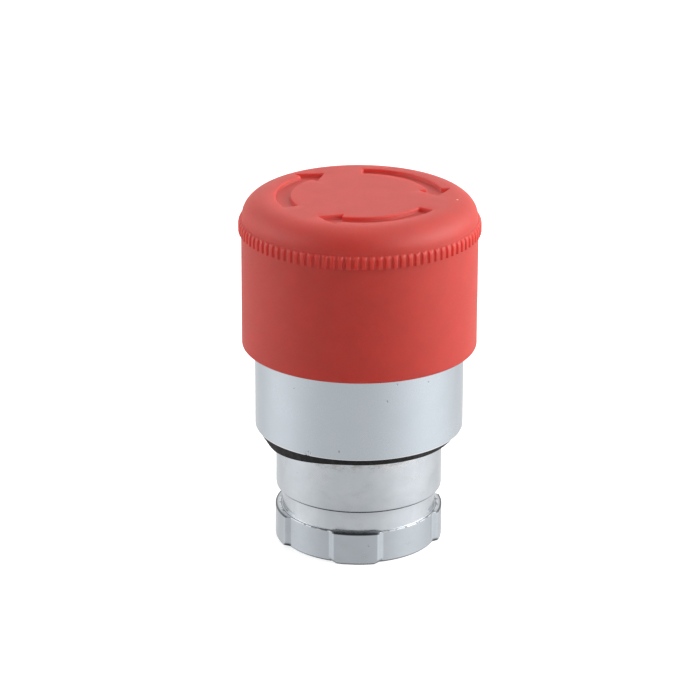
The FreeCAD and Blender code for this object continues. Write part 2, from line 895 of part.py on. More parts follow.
def cut_latch_flats(body, d):
    """Two flats across the cam, at the clip's height once the cap is pressed home."""
    reach = d.cam_radius + d.hole_overrun
    sketch = new_sketch(body, "latch_flats", "XY_Plane", d.clip_height + d.push_travel)
    draw_outline(sketch, box_corners(d.cam_flat, reach, -reach, reach))
    draw_outline(sketch, box_corners(-reach, -d.cam_flat, -reach, reach))
    pocket(body, sketch, d.clip_slot_height, midplane=True, name="Latch_flats")


def add_stop_peg(body, d):
    """Peg under the cam that limits the turn; it starts at the counter-clockwise end."""
    sketch = new_sketch(body, "stop_peg", "XY_Plane", d.cam_bottom - d.stop_peg_length)
    middle = 180.0 + d.turn_angle / 2.0
    half = d.stop_peg_half_angle
    corners = sector_corners(d.stop_peg_inner, d.cam_radius, middle - half, middle + half)
    draw_outline(sketch, corners)
    pad(body, sketch, d.stop_peg_length, name="Stop_peg")


def make_spindle_circlip(d):
    """External clip that holds the foot on the spindle, open towards -Y."""
    body = new_body("spindle_circlip")
    bottom = spindle_clip_top(d) - d.spindle_clip_thickness
    sketch = new_sketch(body, "clip_outline", "XY_Plane", bottom)
    inner = d.clip_groove_radius + SLIP_FIT
    outer = d.spindle_clip_outer
    start = d.spindle_clip_gap_angle - 90.0
    end = 270.0 - d.spindle_clip_gap_angle
    draw_outline(
        sketch,
        [
            polar(inner, start),
            polar(outer, start) + (outer, 1),
            polar(outer, 90.0) + (outer, 1),
            polar(outer, end),
            polar(inner, end) + (inner, -1),
            polar(inner, 90.0) + (inner, -1),
        ],
    )
    pad(body, sketch, d.spindle_clip_thickness)
    return body


def make_stop_washer(d):
    """Nylon washer that cushions the spindle's collar against the casting's inner lip."""
    return washer(
        "stop_washer",
        d.stop_washer_inner,
        d.collar_disc_radius,
        d.collar_disc_top,
        d.stop_lip_bottom,
    )


def make_mushroom_cap(d):
    """Moulded cap: skirt, ribbed rim, rounded shoulder and a flat top with three arrows."""
    bottom = d.skirt_bottom
    edge = d.skirt_edge
    curve = d.ceiling_curve
    body = turned_piece(
        "mushroom_cap",
        [
            (0.0, d.spindle_top + d.insert_length),
            (d.insert_radius, d.spindle_top + d.insert_length),
            (d.insert_radius, d.spindle_top),
            (d.hub_radius, d.spindle_top),
            (d.hub_radius, d.ceiling),
            (d.skirt_bore - curve, d.ceiling, curve, -1),
            (d.skirt_bore, d.ceiling - curve),
            (d.skirt_bore, bottom),
            (d.skirt_radius - edge, bottom, edge, 1),
            (d.skirt_radius, bottom + edge),
            (d.skirt_radius, d.rim_bottom + d.rim_height),
            (d.dome_base_radius, d.dome_base, d.dome_curve, 1),
            (d.top_flat_radius, d.cap_top),
            (0.0, d.cap_top),
        ],
    )
    add_ceiling_stiffeners(body, d)
    cut_dog_slots(body, d)
    cut_arrows(body, d)
    add_rim_ribs(body, d)
    return body


def add_ceiling_stiffeners(body, d):
    sketch = new_sketch(body, "stiffener", "XY_Plane", d.ceiling - d.stiffener_depth)
    half = d.stiffener_half_width
    start = d.hub_radius - d.stiffener_sink
    draw_outline(sketch, box_corners(start, d.stiffener_end, -half, half))
    rib = pad(body, sketch, d.stiffener_depth + d.stiffener_sink, name="Stiffener")
    repeat_around(body, [rib], CEILING_STIFFENERS, "Stiffeners")


def cut_dog_slots(body, d):
    """Slots in the hub that the spindle's dogs drive."""
    sketch = new_sketch(body, "dog_slots", "XY_Plane", d.spindle_top)
    half = d.dog_half_width + d.dog_clearance
    inner = d.dog_inner - d.dog_clearance
    outer = d.dog_outer + d.dog_clearance
    draw_outline(sketch, box_corners(inner, outer, -half, half))
    draw_outline(sketch, box_corners(-outer, -inner, -half, half))
    depth = d.dog_height + d.dog_clearance
    pocket(body, sketch, depth, reversed_way=True, name="Dog_slots")


def cut_arrows(body, d):
    """Sunken arrows on the flat top, all pointing clockwise as seen from above."""
    sketch = new_sketch(body, "arrow_outline", "XY_Plane", d.cap_top)
    head = d.arrow_head_angle
    tail = d.arrow_tail_angle
    draw_outline(
        sketch,
        [
            polar(d.arrow_tip_radius, 0.0),
            polar(d.arrow_barb_outer, head),
            polar(d.arrow_outer, head) + (d.arrow_outer, 1),
            polar(d.arrow_outer, tail),
            polar(d.arrow_inner, tail) + (d.arrow_inner, -1),
            polar(d.arrow_inner, head),
            polar(d.arrow_barb_inner, head),
        ],
    )
    arrow = pocket(body, sketch, d.arrow_depth, name="Arrow")
    repeat_around(body, [arrow], ARROWS, "Arrows")


def add_rim_ribs(body, d):
    """Fine grip ribs round the rim, each a little wider at its foot."""
    sketch = new_sketch(body, "rim_rib", "XY_Plane", d.rim_bottom)
    root = d.skirt_radius - d.rim_rib_sink
    middle = d.rim_rib_start
    draw_outline(
        sketch,
        [
            polar(root, middle - d.rim_rib_foot),
            polar(d.rim_radius, middle - d.rim_rib_crest),
            polar(d.rim_radius, middle + d.rim_rib_crest),
            polar(root, middle + d.rim_rib_foot),
        ],
    )
    rib = pad(body, sketch, d.rim_height, name="Rim_rib")
    repeat_around(body, [rib], RIM_RIBS, "Rim_ribs")


def make_cap_insert(d):
    """Brass insert moulded into the hub, threaded for the cap screw."""
    outer = d.insert_radius - SLIP_FIT
    top = d.spindle_top + d.insert_length - SLIP_FIT
    waist = outer - d.insert_waist_depth
    middle = d.spindle_top + d.insert_length / 2.0
    half = d.insert_waist_height / 2.0
    return turned_piece(
        "cap_insert",
        [
            (d.insert_bore, d.spindle_top),
            (outer, d.spindle_top),
            (outer, middle - half),
            (waist, middle - half),
            (waist, middle + half),
            (outer, middle + half),
            (outer, top),
            (d.insert_bore, top),
        ],
    )


def make_cap_screw(d):
    """Socket screw that comes up through the hollow spindle into the cap's insert."""
    seat = d.screw_seat - d.washer_thickness
    head_bottom = seat - d.screw_head_height
    tip = seat + d.screw_length
    body = turned_piece(
        "cap_screw",
        [
            (0.0, head_bottom),
            (d.screw_head_radius, head_bottom),
            (d.screw_head_radius, seat),
            (d.screw_radius, seat),
            (d.screw_radius, tip - d.screw_point),
            (d.screw_radius - d.screw_point, tip),
            (0.0, tip),
        ],
    )
    sketch = new_sketch(body, "socket", "XY_Plane", head_bottom)
    across_corners = d.screw_socket * (2.0 / math.sqrt(3.0))
    draw_outline(sketch, [polar(across_corners, 60.0 * turn) for turn in range(6)])
    pocket(body, sketch, d.screw_socket_depth, reversed_way=True, name="Socket")
    return body


def make_lock_washer(d):
    """Split washer under the screw's head."""
    body = washer(
        "lock_washer",
        d.shank_bore,
        d.screw_head_radius,
        d.screw_seat - d.washer_thickness,
        d.screw_seat,
    )
    sketch = new_sketch(body, "split", "XY_Plane", d.screw_seat)
    half = d.split_width / 2.0
    start = d.shank_bore - d.notch_overrun
    draw_outline(sketch, box_corners(start, d.screw_bore, -half, half))
    pocket(body, sketch, d.washer_thickness, name="Split")
    return body


# ---------------------------------------------------------------- assembly


def make_head():
    """All sub-parts, each already in its place."""
    d = make_sheet()
    pieces = [
        make_barrel_casting(d),
        make_bezel_shell(d),
        make_bezel_snap_ring(d),
        make_bezel_o_ring(d),
        make_panel_gasket(d),
        make_guide_sleeve(d),
        make_sleeve_circlip(d),
        make_locating_pins(d),
        make_latch_clip(d),
        make_return_spring(d),
        make_lip_seal(d),
        make_seal_retainer(d),
        make_plunger(d),
        make_actuator_foot(d),
        make_torsion_spring(d),
        make_spindle(d),
        make_spindle_circlip(d),
        make_stop_washer(d),
        make_mushroom_cap(d),
        make_cap_insert(d),
        make_cap_screw(d),
        make_lock_washer(d),
    ]
    return pieces + make_plunger_washers(d)


def check_document(pieces):
    """Stops if any feature failed or any sub-part isn't a sound closed solid."""
    DOC.recompute()
    for item in DOC.Objects:
        if "Invalid" in item.State or "Error" in item.State:
            raise RuntimeError("{} failed: {}".format(item.Name, item.State))
    for piece in pieces:
        shape = piece.Shape
        if shape.isNull() or not shape.isValid() or not shape.Solids:
            raise RuntimeError("{} has no sound solid".format(piece.Label))


def write_steps(pieces):
    os.makedirs("parts", exist_ok=True)
    for piece in pieces:
        piece.Shape.exportStep(os.path.join("parts", piece.Label + ".step"))
        box = piece.Shape.BoundBox
        print(
            "{:18s} solids {} volume {:9.2f} z {:7.2f} to {:6.2f}".format(
                piece.Label, len(piece.Shape.Solids), piece.Shape.Volume, box.ZMin, box.ZMax
            )
        )


HEAD = make_head()
check_document(HEAD)
write_steps(HEAD)
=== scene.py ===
import json
import math

import bmesh
import bpy
from mathutils import Matrix, Vector
from mathutils.geometry import delaunay_2d_cdt


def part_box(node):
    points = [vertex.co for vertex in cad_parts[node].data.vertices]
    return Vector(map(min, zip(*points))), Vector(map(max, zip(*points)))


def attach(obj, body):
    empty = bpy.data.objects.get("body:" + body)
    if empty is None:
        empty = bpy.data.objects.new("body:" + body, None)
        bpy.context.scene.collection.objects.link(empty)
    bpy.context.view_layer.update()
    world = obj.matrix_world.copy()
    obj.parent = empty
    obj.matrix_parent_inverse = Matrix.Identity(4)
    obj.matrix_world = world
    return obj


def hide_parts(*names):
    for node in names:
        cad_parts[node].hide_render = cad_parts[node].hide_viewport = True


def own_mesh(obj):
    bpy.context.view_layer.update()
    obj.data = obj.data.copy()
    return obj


# Lengths are in millimetres until a mesh is made, and angles in degrees. Heights are in the
# part's own frame: 0 is the gasket's underside and +Z points to the cap.

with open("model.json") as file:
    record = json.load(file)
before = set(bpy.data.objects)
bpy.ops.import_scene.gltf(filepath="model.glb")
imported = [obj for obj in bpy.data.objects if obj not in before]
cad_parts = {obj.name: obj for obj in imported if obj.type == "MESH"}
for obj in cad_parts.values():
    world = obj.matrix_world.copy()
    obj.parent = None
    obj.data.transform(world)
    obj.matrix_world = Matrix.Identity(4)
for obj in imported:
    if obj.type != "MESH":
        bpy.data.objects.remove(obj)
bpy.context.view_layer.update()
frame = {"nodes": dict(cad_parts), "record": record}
MM = 0.001
TINY = 1e-6


def low(node):
    """Lowest corner of a CAD node, in millimetres."""
    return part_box(node)[0] / MM


def high(node):
    """Highest corner of a CAD node, in millimetres."""
    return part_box(node)[1] / MM


def on_circle(radius, angle, height):
    turn = math.radians(angle)
    return Vector((radius * math.cos(turn), radius * math.sin(turn), height))


def smooth_step(start, end, value):
    """0 up to start and 1 from end on, with an even curve between."""
    t = min(max((value - start) / (end - start), 0.0), 1.0)
    return t * t * (3.0 - 2.0 * t)


# ---------------------------------------------------------------- driving sizes

AXIS_COLUMNS = 384

# cap
CAP_LOW = low("mushroom_cap").z
CAP_TOP = 32.5
RIM_CREST = high("mushroom_cap").x
RIB_COUNT = 98
RIB_START = 2.08
RIB_RELIEF = 0.39
RIB_DEPTH = 0.23
# Shares of a rib's pitch, from its crest, where its side starts and ends.
RIB_SIDE = (0.18, 0.4)
# Shares of a rib's pitch, from its crest, where the rim has a column of points.
RIB_STEPS = (0.0, 0.13, 0.2, 0.25, 0.3, 0.36, 0.5, 0.64, 0.7, 0.75, 0.8, 0.87)
SKIRT_RADIUS = RIM_CREST - RIB_RELIEF
RIB_BOTTOM = 27.8
RIB_ROUND_START = 28.8
RIB_TOP = 29.46
# Rows of points up the rim: shares of its rounded top, then heights down its straight side.
RIM_ROUND_ROWS = (1.0, 0.97, 0.9, 0.78, 0.6, 0.35)
RIM_SIDE_ROWS = (RIB_ROUND_START, 28.3, RIB_BOTTOM + 0.12, RIB_BOTTOM + 0.05)
# Rows under the rim's overhang: share of its relief, and height from its bottom.
RIM_UNDER_ROWS = ((0.8, 0.01), (0.3, 0.0), (0.0, -0.02), (0.0, -0.1))
DOME_BASE = 29.77
DOME_BASE_RADIUS = 15.35
RIM_TOP_RADIUS = 15.38
FLAT_RADIUS = 11.9
PATCH_RADIUS = 12.9
# Radii of the rings of loose points in the cap's top, close together where its shoulder starts.
TOP_RINGS = (6.0, 8.4, 11.7, 11.9, 12.05, 12.2, 12.35, 12.5, 12.65, 12.78)
SHOULDER_ROWS = 14
SKIRT_BORE = 14.0
CEILING = 29.9
HUB_RADIUS = 5.5
HUB_BOTTOM = low("cap_insert").z
INSERT_RADIUS = 2.6
INSERT_TOP = high("cap_insert").z + 0.02
STIFFENERS = 6
STIFFENER_START = 5.0
STIFFENER_END = 13.0
STIFFENER_HALF = 0.5
STIFFENER_DEPTH = 1.2
STIFFENER_SINK = 0.2
STIFFENER_FILLET = 0.12

# sunken arrows
ARROW_DEPTH = 0.55
ARROW_INNER = 9.0
ARROW_OUTER = 11.0
ARROW_TIP = 10.1
BARB_INNER = 7.95
BARB_OUTER = 12.2
HEAD_ANGLE = 17.0
TAIL_ANGLE = 90.0
ARROW_TURNS = (0.0, 120.0, 240.0)
ARROW_SPACING = 0.1
ARROW_SOFTENINGS = 3
# An arrow's wall from its mouth to its floor: how far outside the outline, and how high.
ARROW_WALL = (
    (0.13, 0.0),
    (0.07, -0.012),
    (0.02, -0.05),
    (-0.01, -0.12),
    (-0.04, -0.39),
    (-0.08, -0.49),
    (-0.14, -0.538),
    (-0.21, -ARROW_DEPTH),
)
# How far the loose points of the cap's top stay from an arrow's mouth.
MOUTH_GAP = 0.04

DUST_PLACE = on_circle(12.68, -5.0, 32.43)
DUST_RADIUS = 0.17

# bezel
BEZEL_RADIUS = high("bezel_shell").x
BEZEL_LOW = low("bezel_shell").z
BEZEL_HIGH = high("bezel_shell").z
BEZEL_BORE = BEZEL_RADIUS - 0.8
# Each pit: its angle, height and radius.
BEZEL_PITS = (
    (-98.7, 2.1, 0.16),
    (-72.8, 9.0, 0.16),
    (-67.3, 11.2, 0.14),
    (-47.6, 10.6, 0.16),
    (-125.6, 9.8, 0.12),
    (-116.4, 1.5, 0.13),
    (-115.0, 1.35, 0.1),
)
# Each nick in the lower edge: its angle, half its width in degrees, and its depth.
NICKS = ((-117.8, 0.8, 0.07), (-116.2, 0.6, 0.05))
# The snap ring's groove in the bore: foot, top and depth.
SNAP_GROOVE = (3.9, 5.0, 0.35)

# casting
RING_LOW = low("barrel_casting").z
RING_HIGH = RING_LOW + 4.35
COLLAR_HIGH = high("barrel_casting").z
BARREL_RADIUS = 11.0
BARREL_LOW = -7.72
NECK_RADIUS = 10.2
LUG_RADIUS = 11.1
BAND_RADIUS = 10.5
BORE_RADIUS = 9.0
FLANGE_RADIUS = high("barrel_casting").x
FLANGE_HIGH = 3.9
# Grooves: radius of the floor, foot and top.
O_RING_GROOVE = (12.1, 1.8, 2.8)
CIRCLIP_GROOVE = (9.5, -7.5, -6.6)
RECESS_RADIUS = BARREL_RADIUS - 0.3
COLLAR_RADIUS = 10.6
COLLAR_BORE = 9.2
LIP_BORE = 7.0
LIP_LOW = 17.4
LIP_HIGH = 18.4
SPRING_BORE = 8.4
SPRING_BORE_LOW = 6.4
BAND_FILLET = 0.07
# Each lug: its middle, and half its width at the foot of its flanks.
LUGS = ((-90.0, 19.6), (0.0, 19.6), (90.0, 19.6), (180.0, 34.2))
LUG_FLANK = 4.6
LUG_CORNER = 0.7
FLANK_COLUMNS = 8
FLANK_SLOPE = 0.7
FLANK_SOFTENING = 0.3
CREST_COLUMNS_PER_DEGREE = 2.4
GAP_COLUMNS = 40
SCUFF_ANGLES = (-104.0, -62.0)

# gasket
GASKET_OUTER = high("panel_gasket").x
GASKET_HIGH = high("panel_gasket").z
GASKET_INNER = 11.5
# Each sag: how far it hangs and how far the edge curls in, in millimetres, then the angles
# where it starts, is full, ebbs and ends.
SAGS = (
    (0.62, 0.0, -93.0, -140.0, -143.0, -160.0),
    (0.3, 0.5, -62.0, -33.0, -25.0, 0.0),
)


# ---------------------------------------------------------------- mesh helpers


def new_piece(name, bm, body, slot, *nodes, material, sharp=40.0):
    """Object made from a bmesh in millimetres, which rides on a CAD body and stands for nodes."""
    mesh = mesh_from(name, bm)
    mesh.transform(Matrix.Scale(MM, 4))
    mesh.shade_smooth()
    mesh.set_sharp_from_angle(angle=math.radians(sharp))
    piece = bpy.data.objects.new(name, mesh)
    bpy.context.scene.collection.objects.link(piece)
    mesh.materials.append(material)
    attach(piece, body)
    if nodes:
        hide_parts(*nodes)
    return piece


def mesh_from(name, bm):
    bmesh.ops.recalc_face_normals(bm, faces=bm.faces)
    mesh = bpy.data.meshes.new(name)
    bm.to_mesh(mesh)
    bm.free()
    return mesh


def rounded(corners, steps=4):
    """Outline points of a closed polygon of (radius, height, fillet) corners."""
    points = []
    count = len(corners)
    for index, corner in enumerate(corners):
        here = Vector(corner[:2])
        fillet = corner[2]
        if not fillet:
            points.append(here)
            continue
        before = Vector(corners[index - 1][:2]) - here
        after = Vector(corners[(index + 1) % count][:2]) - here
        half = before.angle(after) / 2
        setback = min(fillet / math.tan(half), before.length * 0.49, after.length * 0.49)
        start = here + before.normalized() * setback
        end = here + after.normalized() * setback
        for step in range(steps + 1):
            t = step / steps
            points.append(start.lerp(here, t).lerp(here.lerp(end, t), t))
    return points


def add_ring(bm, radius, height, columns):
    """Vertices round the axis, or one where the radius is nothing."""
    if radius < TINY:
        return [bm.verts.new((0, 0, height))]
    return [bm.verts.new(on_circle(radius, 360.0 * c / columns, height)) for c in range(columns)]


def join_rings(bm, first, second):
    """Faces between two rings that start at the same angle, whatever their counts."""
    if len(first) == len(second):
        for c in range(len(first)):
            after = (c + 1) % len(first)
            bm.faces.new((first[c], first[after], second[after], second[c]))
        return
    i = j = 0
    while i < len(first) or j < len(second):
        ahead = (i + 1) / len(first) if len(first) > 1 else 2.0
        other = (j + 1) / len(second) if len(second) > 1 else 2.0
        a, b = first[i % len(first)], second[j % len(second)]
        if i < len(first) and (ahead <= other or j >= len(second)):
            bm.faces.new((a, first[(i + 1) % len(first)], b))
            i += 1
        else:
            bm.faces.new((a, second[(j + 1) % len(second)], b))
            j += 1
        if (i >= len(first) and len(second) == 1) or (j >= len(second) and len(first) == 1):
            break


def lathe(bm, outline, columns):
    """Closed outline of (radius, height) points, turned round the axis."""
    rings = [add_ring(bm, p[0], p[1], columns) for p in outline]
    for first, second in zip(rings, rings[1:] + rings[:1]):
        join_rings(bm, first, second)


def add_box(bm, low_corner, high_corner, turn):
    """Box between two corners, turned round the part's axis."""
    made = bmesh.ops.create_cube(bm, size=1.0)["verts"]
    size = Vector(high_corner) - Vector(low_corner)
    middle = (Vector(high_corner) + Vector(low_corner)) / 2
    place = Matrix.Rotation(math.radians(turn), 4, "Z") @ Matrix.Translation(middle)
    bmesh.ops.transform(bm, matrix=place @ Matrix.Diagonal((*size, 1.0)), verts=made)


# ---------------------------------------------------------------- cap


def dome_height(radius):
    """Height of the cap's top and rounded shoulder at a radius."""
    if radius <= FLAT_RADIUS:
        return CAP_TOP
    across = min((radius - FLAT_RADIUS) / (DOME_BASE_RADIUS - FLAT_RADIUS), 1.0)
    return DOME_BASE + (CAP_TOP - DOME_BASE) * math.sqrt(1.0 - across**2)


def arrow_outline():
    """Evenly spaced points round one arrow, with its corners a little rounded."""

    def arc(radius, start, end):
        steps = max(2, int(math.radians(abs(end - start)) * radius / ARROW_SPACING))
        return [on_circle(radius, start + (end - start) * k / steps, 0) for k in range(steps)]

    def line(first, second):
        steps = max(2, int((second - first).length / ARROW_SPACING))
        return [first.lerp(second, k / steps) for k in range(steps)]

    tip = on_circle(ARROW_TIP, 0, 0)
    outer_barb = on_circle(BARB_OUTER, HEAD_ANGLE, 0)
    inner_barb = on_circle(BARB_INNER, HEAD_ANGLE, 0)
    outer_neck = on_circle(ARROW_OUTER, HEAD_ANGLE, 0)
    inner_neck = on_circle(ARROW_INNER, HEAD_ANGLE, 0)
    points = line(tip, outer_barb) + line(outer_barb, outer_neck)
    points += arc(ARROW_OUTER, HEAD_ANGLE, TAIL_ANGLE)
    points += line(on_circle(ARROW_OUTER, TAIL_ANGLE, 0), on_circle(ARROW_INNER, TAIL_ANGLE, 0))
    points += arc(ARROW_INNER, TAIL_ANGLE, HEAD_ANGLE)
    points += line(inner_neck, inner_barb) + line(inner_barb, tip)
    for _ in range(ARROW_SOFTENINGS):
        count = len(points)
        points = [
            points[k] * 0.5 + (points[k - 1] + points[(k + 1) % count]) * 0.25 for k in range(count)
        ]
    return points


def offset_outline(points, distance):
    """The outline moved outward by a distance, or inward by a negative one. Points that would
    cross over in a tight corner are spread along a short straight line instead."""
    reach = 14  # neighbours on each side that a moved point must stay clear of
    count = len(points)
    moved = []
    good = []
    for k in range(count):
        along = (points[(k + 1) % count] - points[k - 1]).normalized()
        place = points[k] + Vector((along.y, -along.x, 0)) * distance
        near = min((place - points[(k + n) % count]).length for n in range(-reach, reach + 1))
        moved.append(place)
        good.append(near > abs(distance) * 0.98)
    first = good.index(True)
    k = first
    while k < first + count:
        end = k + 1
        while not good[end % count]:
            end += 1
        for n in range(k + 1, end):
            share = (n - k) / (end - k)
            moved[n % count] = moved[k % count].lerp(moved[end % count], share)
        k = end
    return moved


def inside(point, polygon):
    """True if the point lies in the polygon, in plan."""
    odd = False
    for a, b in zip(polygon, polygon[1:] + polygon[:1]):
        if (a.y > point.y) != (b.y > point.y):
            if point.x < (b.x - a.x) * (point.y - a.y) / (b.y - a.y) + a.x:
                odd = not odd
    return odd


def fill_between(bm, loops, keep, height, extra=()):
    """Triangles over the loops of vertices and the extra plan points, where keep(middle) is
    true. height(radius) places the extra points."""
    verts = [v for loop in loops for v in loop]
    plan = [Vector((v.co.x, v.co.y)) for v in verts]
    edges = []
    first = 0
    for loop in loops:
        count = len(loop)
        edges += [(first + k, first + (k + 1) % count) for k in range(count)]
        first += count
    plan += [Vector((p.x, p.y)) for p in extra]
    verts += [None] * len(extra)
    out, _, faces, sources, _, _ = delaunay_2d_cdt(plan, edges, [], 0, TINY)
    made = []
    for place, source in zip(out, sources):
        known = verts[source[0]] if source else None
        made.append(known or bm.verts.new((place.x, place.y, height(place.length))))
    for face in faces:
        middle = sum((out[k] for k in face), Vector((0, 0))) / len(face)
        if keep(middle):
            bm.faces.new([made[k] for k in face])


def add_cap_top(bm, columns):
    """Flat top with its three sunken arrows; returns the ring that the shoulder starts from."""
    rim = add_ring(bm, PATCH_RADIUS, dome_height(PATCH_RADIUS), columns)
    outline = arrow_outline()
    openings = []
    mouths = []
    for turn in ARROW_TURNS:
        spin = Matrix.Rotation(math.radians(turn), 3, "Z")
        loops = []
        for distance, depth in ARROW_WALL:
            loop = [spin @ p for p in offset_outline(outline, distance)]
            top = [dome_height(p.length) for p in loop]
            loops.append([bm.verts.new((p.x, p.y, z + depth)) for p, z in zip(loop, top)])
        for outer, inner in zip(loops, loops[1:]):
            join_rings(bm, outer, inner)
        floor_plan = [v.co.copy() for v in loops[-1]]
        fill_between(
            bm, [loops[-1]], lambda p: inside(p, floor_plan), lambda _: CAP_TOP - ARROW_DEPTH
        )
        openings.append([v.co.copy() for v in loops[0]])
        mouths.append(loops[0])
    extra = []
    for radius in TOP_RINGS:
        count = columns if radius > FLAT_RADIUS else columns // 4
        ring = [on_circle(radius, 360.0 * (k + 0.5) / count, 0) for k in range(count)]
        near = [offset_outline(opening, MOUTH_GAP) for opening in openings]
        extra += [p for p in ring if not any(inside(p, o) for o in near)]
    fill_between(
        bm, [rim, *mouths], lambda p: not any(inside(p, o) for o in openings), dome_height, extra
    )
    return rim


def rib_height(angle, height):
    """Radius of the ribbed rim at an angle and a height between the skirt and the shoulder."""
    across = ((angle - RIB_START) * RIB_COUNT / 360.0) % 1.0
    away = min(across, 1.0 - across)
    wave = 1.0 - RIB_DEPTH / RIB_RELIEF * smooth_step(*RIB_SIDE, away)
    if height <= RIB_ROUND_START:
        return SKIRT_RADIUS + RIB_RELIEF * wave
    rise = min((height - RIB_ROUND_START) / (RIB_TOP - RIB_ROUND_START), 1.0)
    root = SKIRT_RADIUS + (RIM_TOP_RADIUS - SKIRT_RADIUS) * rise
    crest = RIM_TOP_RADIUS + (RIM_CREST - RIM_TOP_RADIUS) * math.sqrt(1.0 - rise**2)
    return root + max(crest - root, 0.0) * wave


def add_rim(bm):
    """Rings of the ribbed rim, from the shoulder down to the skirt."""
    angles = [
        RIB_START + (rib + step) * 360.0 / RIB_COUNT
        for rib in range(RIB_COUNT)
        for step in RIB_STEPS
    ]
    rise = RIB_TOP - RIB_ROUND_START
    heights = [RIB_ROUND_START + rise * share for share in RIM_ROUND_ROWS]
    heights += RIM_SIDE_ROWS
    rings = []
    for height in heights:
        ring = [bm.verts.new(on_circle(rib_height(a, height), a, height)) for a in angles]
        rings.append(ring)
    for share, offset in RIM_UNDER_ROWS:
        height = RIB_BOTTOM + offset
        ring = []
        for angle in angles:
            out = rib_height(angle, RIB_ROUND_START) - SKIRT_RADIUS
            ring.append(bm.verts.new(on_circle(SKIRT_RADIUS + out * share, angle, height)))
        rings.append(ring)
    for first, second in zip(rings, rings[1:]):
        join_rings(bm, first, second)
    return rings[0], rings[-1]


def build_cap(material):
    bm = bmesh.new()
    patch = add_cap_top(bm, AXIS_COLUMNS)
    rings = [patch]
    reach = DOME_BASE_RADIUS - FLAT_RADIUS
    start = math.asin((PATCH_RADIUS - FLAT_RADIUS) / reach)
    for row in range(1, SHOULDER_ROWS):
        swing = start + (math.pi / 2 - start) * row / SHOULDER_ROWS
        radius = FLAT_RADIUS + reach * math.sin(swing)
        height = DOME_BASE + (CAP_TOP - DOME_BASE) * math.cos(swing)
        rings.append(add_ring(bm, radius, height, AXIS_COLUMNS))
    rings.append(add_ring(bm, DOME_BASE_RADIUS, DOME_BASE, AXIS_COLUMNS))
    rim_top, rim_foot = add_rim(bm)
    rings.append(rim_top)
    for first, second in zip(rings, rings[1:]):
        join_rings(bm, first, second)
    under = rounded(
        [
            (SKIRT_RADIUS, RIB_BOTTOM - 1.0, 0),
            (SKIRT_RADIUS, CAP_LOW, 0.2),
            (SKIRT_BORE, CAP_LOW, 0.2),
            (SKIRT_BORE, CEILING, 2.0),
            (HUB_RADIUS, CEILING, 0.5),
            (HUB_RADIUS, HUB_BOTTOM, 0.2),
            (INSERT_RADIUS, HUB_BOTTOM, 0),
            (INSERT_RADIUS, INSERT_TOP, 0),
            (0.0, INSERT_TOP, 0),
        ],
        steps=6,
    )
    skirt = [rim_foot]
    for point in under:
        columns = AXIS_COLUMNS if point.x > SKIRT_BORE + 0.05 else AXIS_COLUMNS // 3
        skirt.append(add_ring(bm, point.x, point.y, columns))
    for first, second in zip(skirt, skirt[1:]):
        join_rings(bm, first, second)
    new_piece("cap", bm, "cap", "red_plastic", "mushroom_cap", material=material)


def build_stiffeners(material):
    """Thin ribs under the cap's ceiling, from the hub out to the skirt."""
    bm = bmesh.new()
    for number in range(STIFFENERS):
        near = (STIFFENER_START, -STIFFENER_HALF, CEILING - STIFFENER_DEPTH)
        far = (STIFFENER_END, STIFFENER_HALF, CEILING + STIFFENER_SINK)
        add_box(bm, near, far, 360.0 / STIFFENERS * number)
    bmesh.ops.bevel(
        bm, geom=bm.edges[:], offset=STIFFENER_FILLET, segments=2, affect="EDGES"
    )
    new_piece("cap_stiffeners", bm, "cap", "red_plastic", material=material)


# ---------------------------------------------------------------- bezel, gasket and casting


def build_bezel(material):
    foot, top, depth = SNAP_GROOVE
    outline = rounded(
        [
            (BEZEL_BORE, BEZEL_LOW, 0.08),
            (BEZEL_RADIUS, BEZEL_LOW, 0.06),
            (BEZEL_RADIUS, BEZEL_LOW + 0.45, 0),
            (BEZEL_RADIUS, BEZEL_LOW + 1.0, 0),
            (BEZEL_RADIUS, BEZEL_HIGH - 1.0, 0),
            (BEZEL_RADIUS, BEZEL_HIGH, 0.45),
            (BEZEL_BORE, BEZEL_HIGH, 0.2),
            (BEZEL_BORE, top, 0),
            (BEZEL_BORE + depth, top, 0.08),
            (BEZEL_BORE + depth, foot, 0.08),
            (BEZEL_BORE, foot, 0),
        ],
        steps=5,
    )
    bm = bmesh.new()
    lathe(bm, outline, AXIS_COLUMNS * 2)
    nick_edge(bm)
    new_piece("bezel", bm, "housing", "satin_chrome", "bezel_shell", material=material)


def nick_edge(bm):
    """Small nicks in the bezel's lower edge, in front and a little to the left."""
    reach_up = 0.4
    reach_in = 0.3
    for angle, width, depth in NICKS:
        for vert in bm.verts:
            above = vert.co.z > BEZEL_LOW + reach_up
            if above or vert.co.xy.length < BEZEL_RADIUS - reach_in:
                continue
            here = math.degrees(math.atan2(vert.co.y, vert.co.x))
            near = max(0.0, 1.0 - abs(here - angle) / width)
            vert.co.z += depth * near
            vert.co.xy *= 1.0 - depth * near / BEZEL_RADIUS


